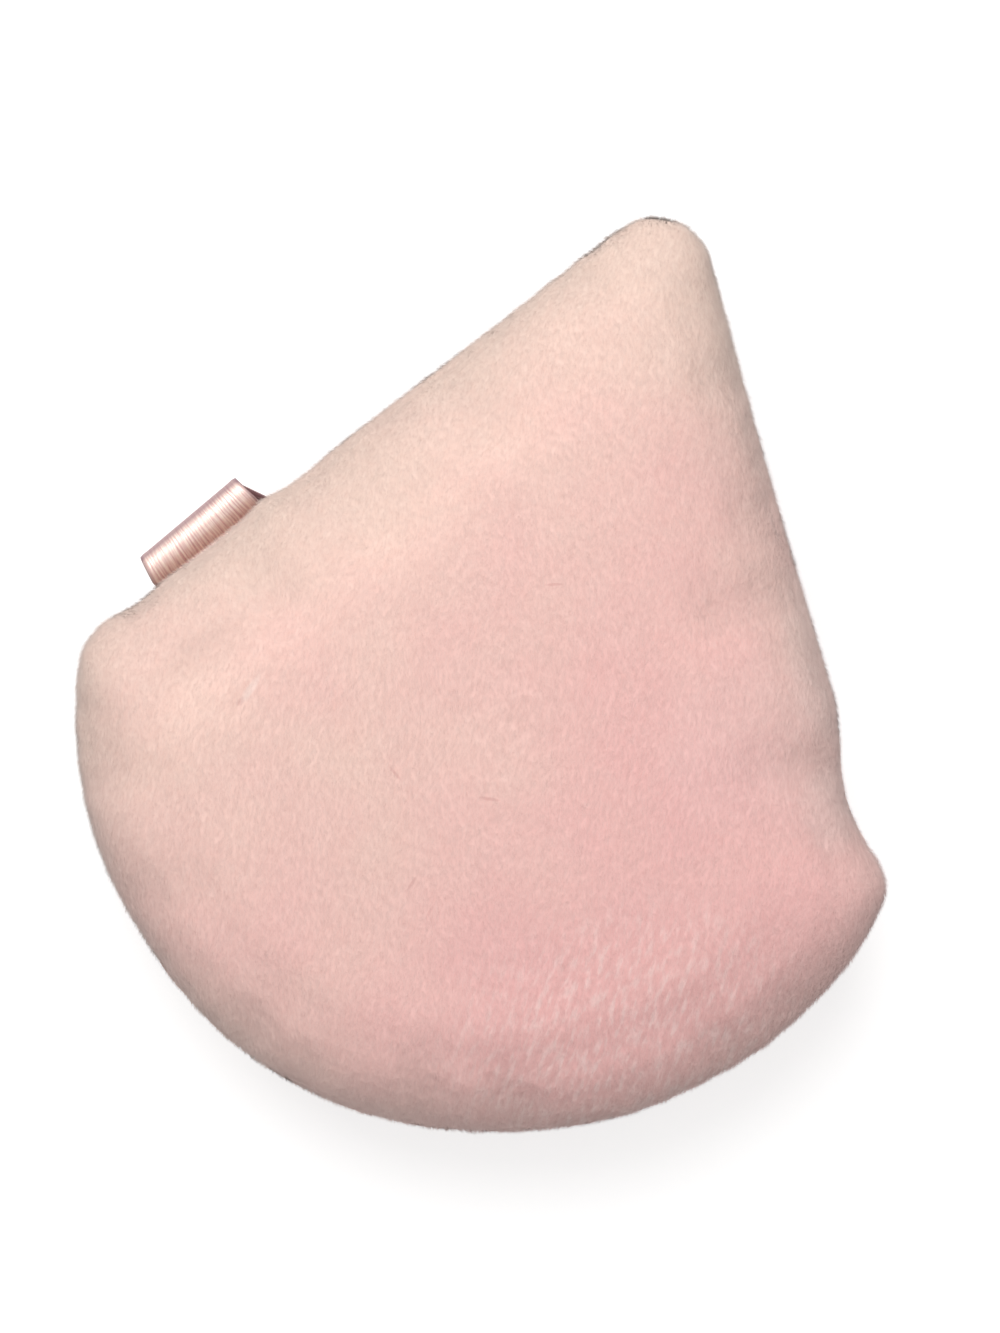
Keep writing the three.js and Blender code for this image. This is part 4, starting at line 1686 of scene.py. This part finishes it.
@dataclass
class Studio:
    """A pale floor, soft light from the picture's upper left, and the camera."""

    turn: float = 18.3
    aim_x: float = -1.40
    aim_y: float = -0.43
    seam_height: float = 9.5
    distance: float = 400.0
    picture_height: float = 105.44
    sensor: float = 36.0
    floor_half: float = 2000.0
    floor_glow: float = 0.6
    floor_grey: float = 0.6
    key_size: float = 500.0
    key_out: float = 340.0
    key_up: float = 420.0
    key_left: float = 0.27
    key_power: float = 2.0
    key_colour: Colour = (1.0, 0.985, 0.965)
    fill: float = 0.615

    @staticmethod
    def _seen(tree: Tree) -> Value:
        """1 where the background is looked at, mirrored or seen through something, or else 0."""
        path = tree.add("ShaderNodeLightPath").outputs
        camera, glossy, through = (Value(tree, path[f"Is {kind} Ray"])
                                   for kind in ("Camera", "Glossy", "Transmission"))
        return (camera + glossy + through).at_most(1.0)

    def _floor(self) -> None:
        """A wide white floor that keeps the puff's shadow."""
        tree = Surface("floor_white")
        glow = tree.link("ShaderNodeEmission", None,
                         {"Color": WHITE, "Strength": self._seen(tree) * self.floor_glow})
        grey = (self.floor_grey,) * 3
        matt = tree.link("ShaderNodeBsdfDiffuse", None, {"Color": (*grey, 1.0)})
        both = tree.link("ShaderNodeAddShader", None, {0: glow, 1: matt})
        tree.add("ShaderNodeOutputMaterial", None, {"Surface": both})
        side = self.floor_half
        corners = np.array(((-side, -side, 0), (side, -side, 0), (side, side, 0), (-side, side, 0)))
        make_object("floor", corners, [(0, 1, 2, 3)], tree.material)

    def _light(self) -> None:
        """One large soft lamp at the upper left, and an even sky."""
        right = Vector((math.cos(math.radians(self.turn)), math.sin(math.radians(self.turn)), 0))
        toward = (Vector((-right.y, right.x, 0)) - right * self.key_left).normalized()
        place = (toward * self.key_out + Vector((0, 0, self.key_up))) * MM
        lamp = bpy.data.lights.new("soft_window", "AREA")
        lamp.shape, lamp.size, lamp.energy = "DISK", self.key_size * MM, self.key_power
        lamp.color = self.key_colour
        held = link_object("soft_window", lamp)
        held.location = place
        held.rotation_euler = (-place).to_track_quat("-Z", "Y").to_euler()
        world = bpy.data.worlds.new("studio")
        bpy.context.scene.world = world
        world.use_nodes = True
        tree = Tree(world.node_tree)
        strength = self._seen(tree) * (1.0 - self.fill) + self.fill
        sky = tree.link("ShaderNodeBackground", None, {"Color": WHITE, "Strength": strength})
        tree.add("ShaderNodeOutputWorld", None, {"Surface": sky})

    def _camera(self) -> None:
        """The camera, straight above the puff and turned as the picture is."""
        eye = bpy.data.cameras.new("camera")
        eye.sensor_width = self.sensor
        eye.lens = self.sensor * self.distance / self.picture_height
        eye.clip_start, eye.clip_end = 0.01, 20.0
        held = link_object("camera", eye)
        held.location = Vector((self.aim_x, self.aim_y, self.seam_height + self.distance)) * MM
        held.rotation_euler = (0.0, 0.0, math.radians(self.turn))
        bpy.context.scene.camera = held

    def build(self) -> None:
        """Sets up the whole studio."""
        bpy.context.scene.view_settings.view_transform = "Standard"
        self._camera()
        self._floor()
        self._light()


# ---------------------------------------------------------------------- the puff


BULGES = (
    Bulge(0.36, 26.0, -0.45),
    Bulge(0.06, 12.0, -0.55),
    Bulge(0.13, 5.0, -0.20),
    Bulge(0.205, 5.0, 0.22),
    Bulge(0.535, 6.0, 0.18),
    Bulge(0.89, 6.0, -0.20),
    Bulge(0.676, 3.5, -0.25),
    Bulge(0.6886, 1.8, 0.40),
    Bulge(0.748, 2.0, -0.35),
)

DENTS = (
    Dent(-23.0, -6.5, 5.0, 2.4, 60.0, 0.55),
    Dent(-19.6, -9.0, 1.6, 0.5, 75.0, 0.25),
)

# Marks with a negative share are painted shade in small nicks and a fold where the nap parts.
MARKS = (
    Mark(0.6, 6.9, 0.8, 0.16, 20.0, -0.34),
    Mark(-6.5, -10.8, 0.9, 0.15, -30.0, -0.28),
    Mark(1.0, -10.4, 1.1, 0.18, 10.0, -0.30),
    Mark(-2.6, -18.5, 0.9, 0.16, 75.0, -0.28),
    Mark(-0.6, -20.1, 0.7, 0.16, 80.0, -0.28),
    Mark(-19.6, -9.3, 0.5, 0.30, 70.0, -0.35),
    Mark(-19.2, -8.2, 1.6, 0.40, 75.0, 0.30),
    Mark(26.6, -2.7, 3.0, 4.5, 20.0, 0.16),
    Mark(22.0, 8.0, 3.2, 9.0, 30.0, 0.16),
    Mark(19.0, 0.0, 9.0, 9.0, 30.0, 0.09),
)

# the pile's dark colour: painted shade at fibre roots and in nap gaps, and the dark side of the
# random mottle
NAP_SHADOW = daylight(196, 132, 128)
FRONT_VELOUR = Velour("velour_front", daylight(247, 217, 203), daylight(246, 192, 189),
                      NAP_SHADOW, MARKS)
BACK_VELOUR = Velour("velour_back", daylight(248, 212, 198), daylight(238, 184, 180), NAP_SHADOW)
FOAM = Foam("foam_cream", daylight(246, 239, 228), daylight(214, 202, 186))
# its third colour is painted shade for the dull side and the fold, and the selvedge's colour
SATIN = Satin("satin_pink", daylight(244, 224, 211), daylight(202, 157, 157),
              daylight(156, 122, 128))
YARN = Yarn("sewing_thread", daylight(233, 189, 182), daylight(205, 156, 150))


@dataclass
class PowderPuff:
    """The whole puff."""

    plan: SeamPlan = SeamPlan(bulges=BULGES)
    section: Section = Section()

    def _stuff(self, front: Face, back: Face) -> None:
        stuffing = Stuffing(front, back)
        start, travel = stuffing.settle()
        for face in (front, back):
            stuffing.shape(face, start, travel)

    def _report(self, piece: bpy.types.Object, *nodes: str, slot: str, ride: bool = True) -> None:
        """Sets a piece on the pad's body when it rides there, hides the parts it stands for, and
        logs its triangles.
        """
        if ride:
            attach(piece, "pad")
        if nodes:
            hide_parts(*nodes)
        piece.data.calc_loop_triangles()
        log.info("%s: %d triangles", piece.name, len(piece.data.loop_triangles))

    def _cover(self, face: Face, origin: Points) -> None:
        """Builds one cover with its pile."""
        word, velour = ("front", FRONT_VELOUR) if face.sign > 0 else ("back", BACK_VELOUR)
        cover = Cover(f"{word}_velour", face, velour, DENTS if face.sign > 0 else ())
        shell = cover.build(origin)
        for fibres in Pile(shell, velour).grow():
            self._report(fibres, slot=velour.name)
        self._report(shell, f"{word}_cover", slot=velour.name)

    def _strap(self, back: Face, origin: Points) -> None:
        """Builds the strap's two halves, kept off the pad's body, and hides the part they stand
        for.
        """
        left, right = Strap(back, SATIN).build(origin)
        for piece in (left, right):
            self._report(piece, slot="satin", ride=False)
        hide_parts("strap")
        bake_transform(left)
        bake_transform(right)

    def build(self) -> None:
        """Builds every piece and sets it in the frame."""
        front, back = (Face(self.plan, self.section, sign) for sign in (1, -1))
        origin = np.array((*self.plan.shift(), self.section.floor))
        self._stuff(front, back)
        for face in (front, back):
            self._cover(face, origin)
        core = Core(front, back, FOAM).build(origin)
        self._report(core, "foam_core", slot="foam")
        self._strap(back, origin)
        sewing = Sewing(self.plan, YARN)
        needle, bobbin = sewing.machine_rows(origin)
        self._report(needle, "seam_needle_thread", slot="thread")
        self._report(bobbin, "seam_bobbin_thread", slot="thread")
        self._report(sewing.ladder(origin), "closing_thread", slot="thread")


def main() -> None:
    """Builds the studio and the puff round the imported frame."""
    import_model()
    Studio().build()
    PowderPuff().build()


if __name__ == "__main__":
    main()
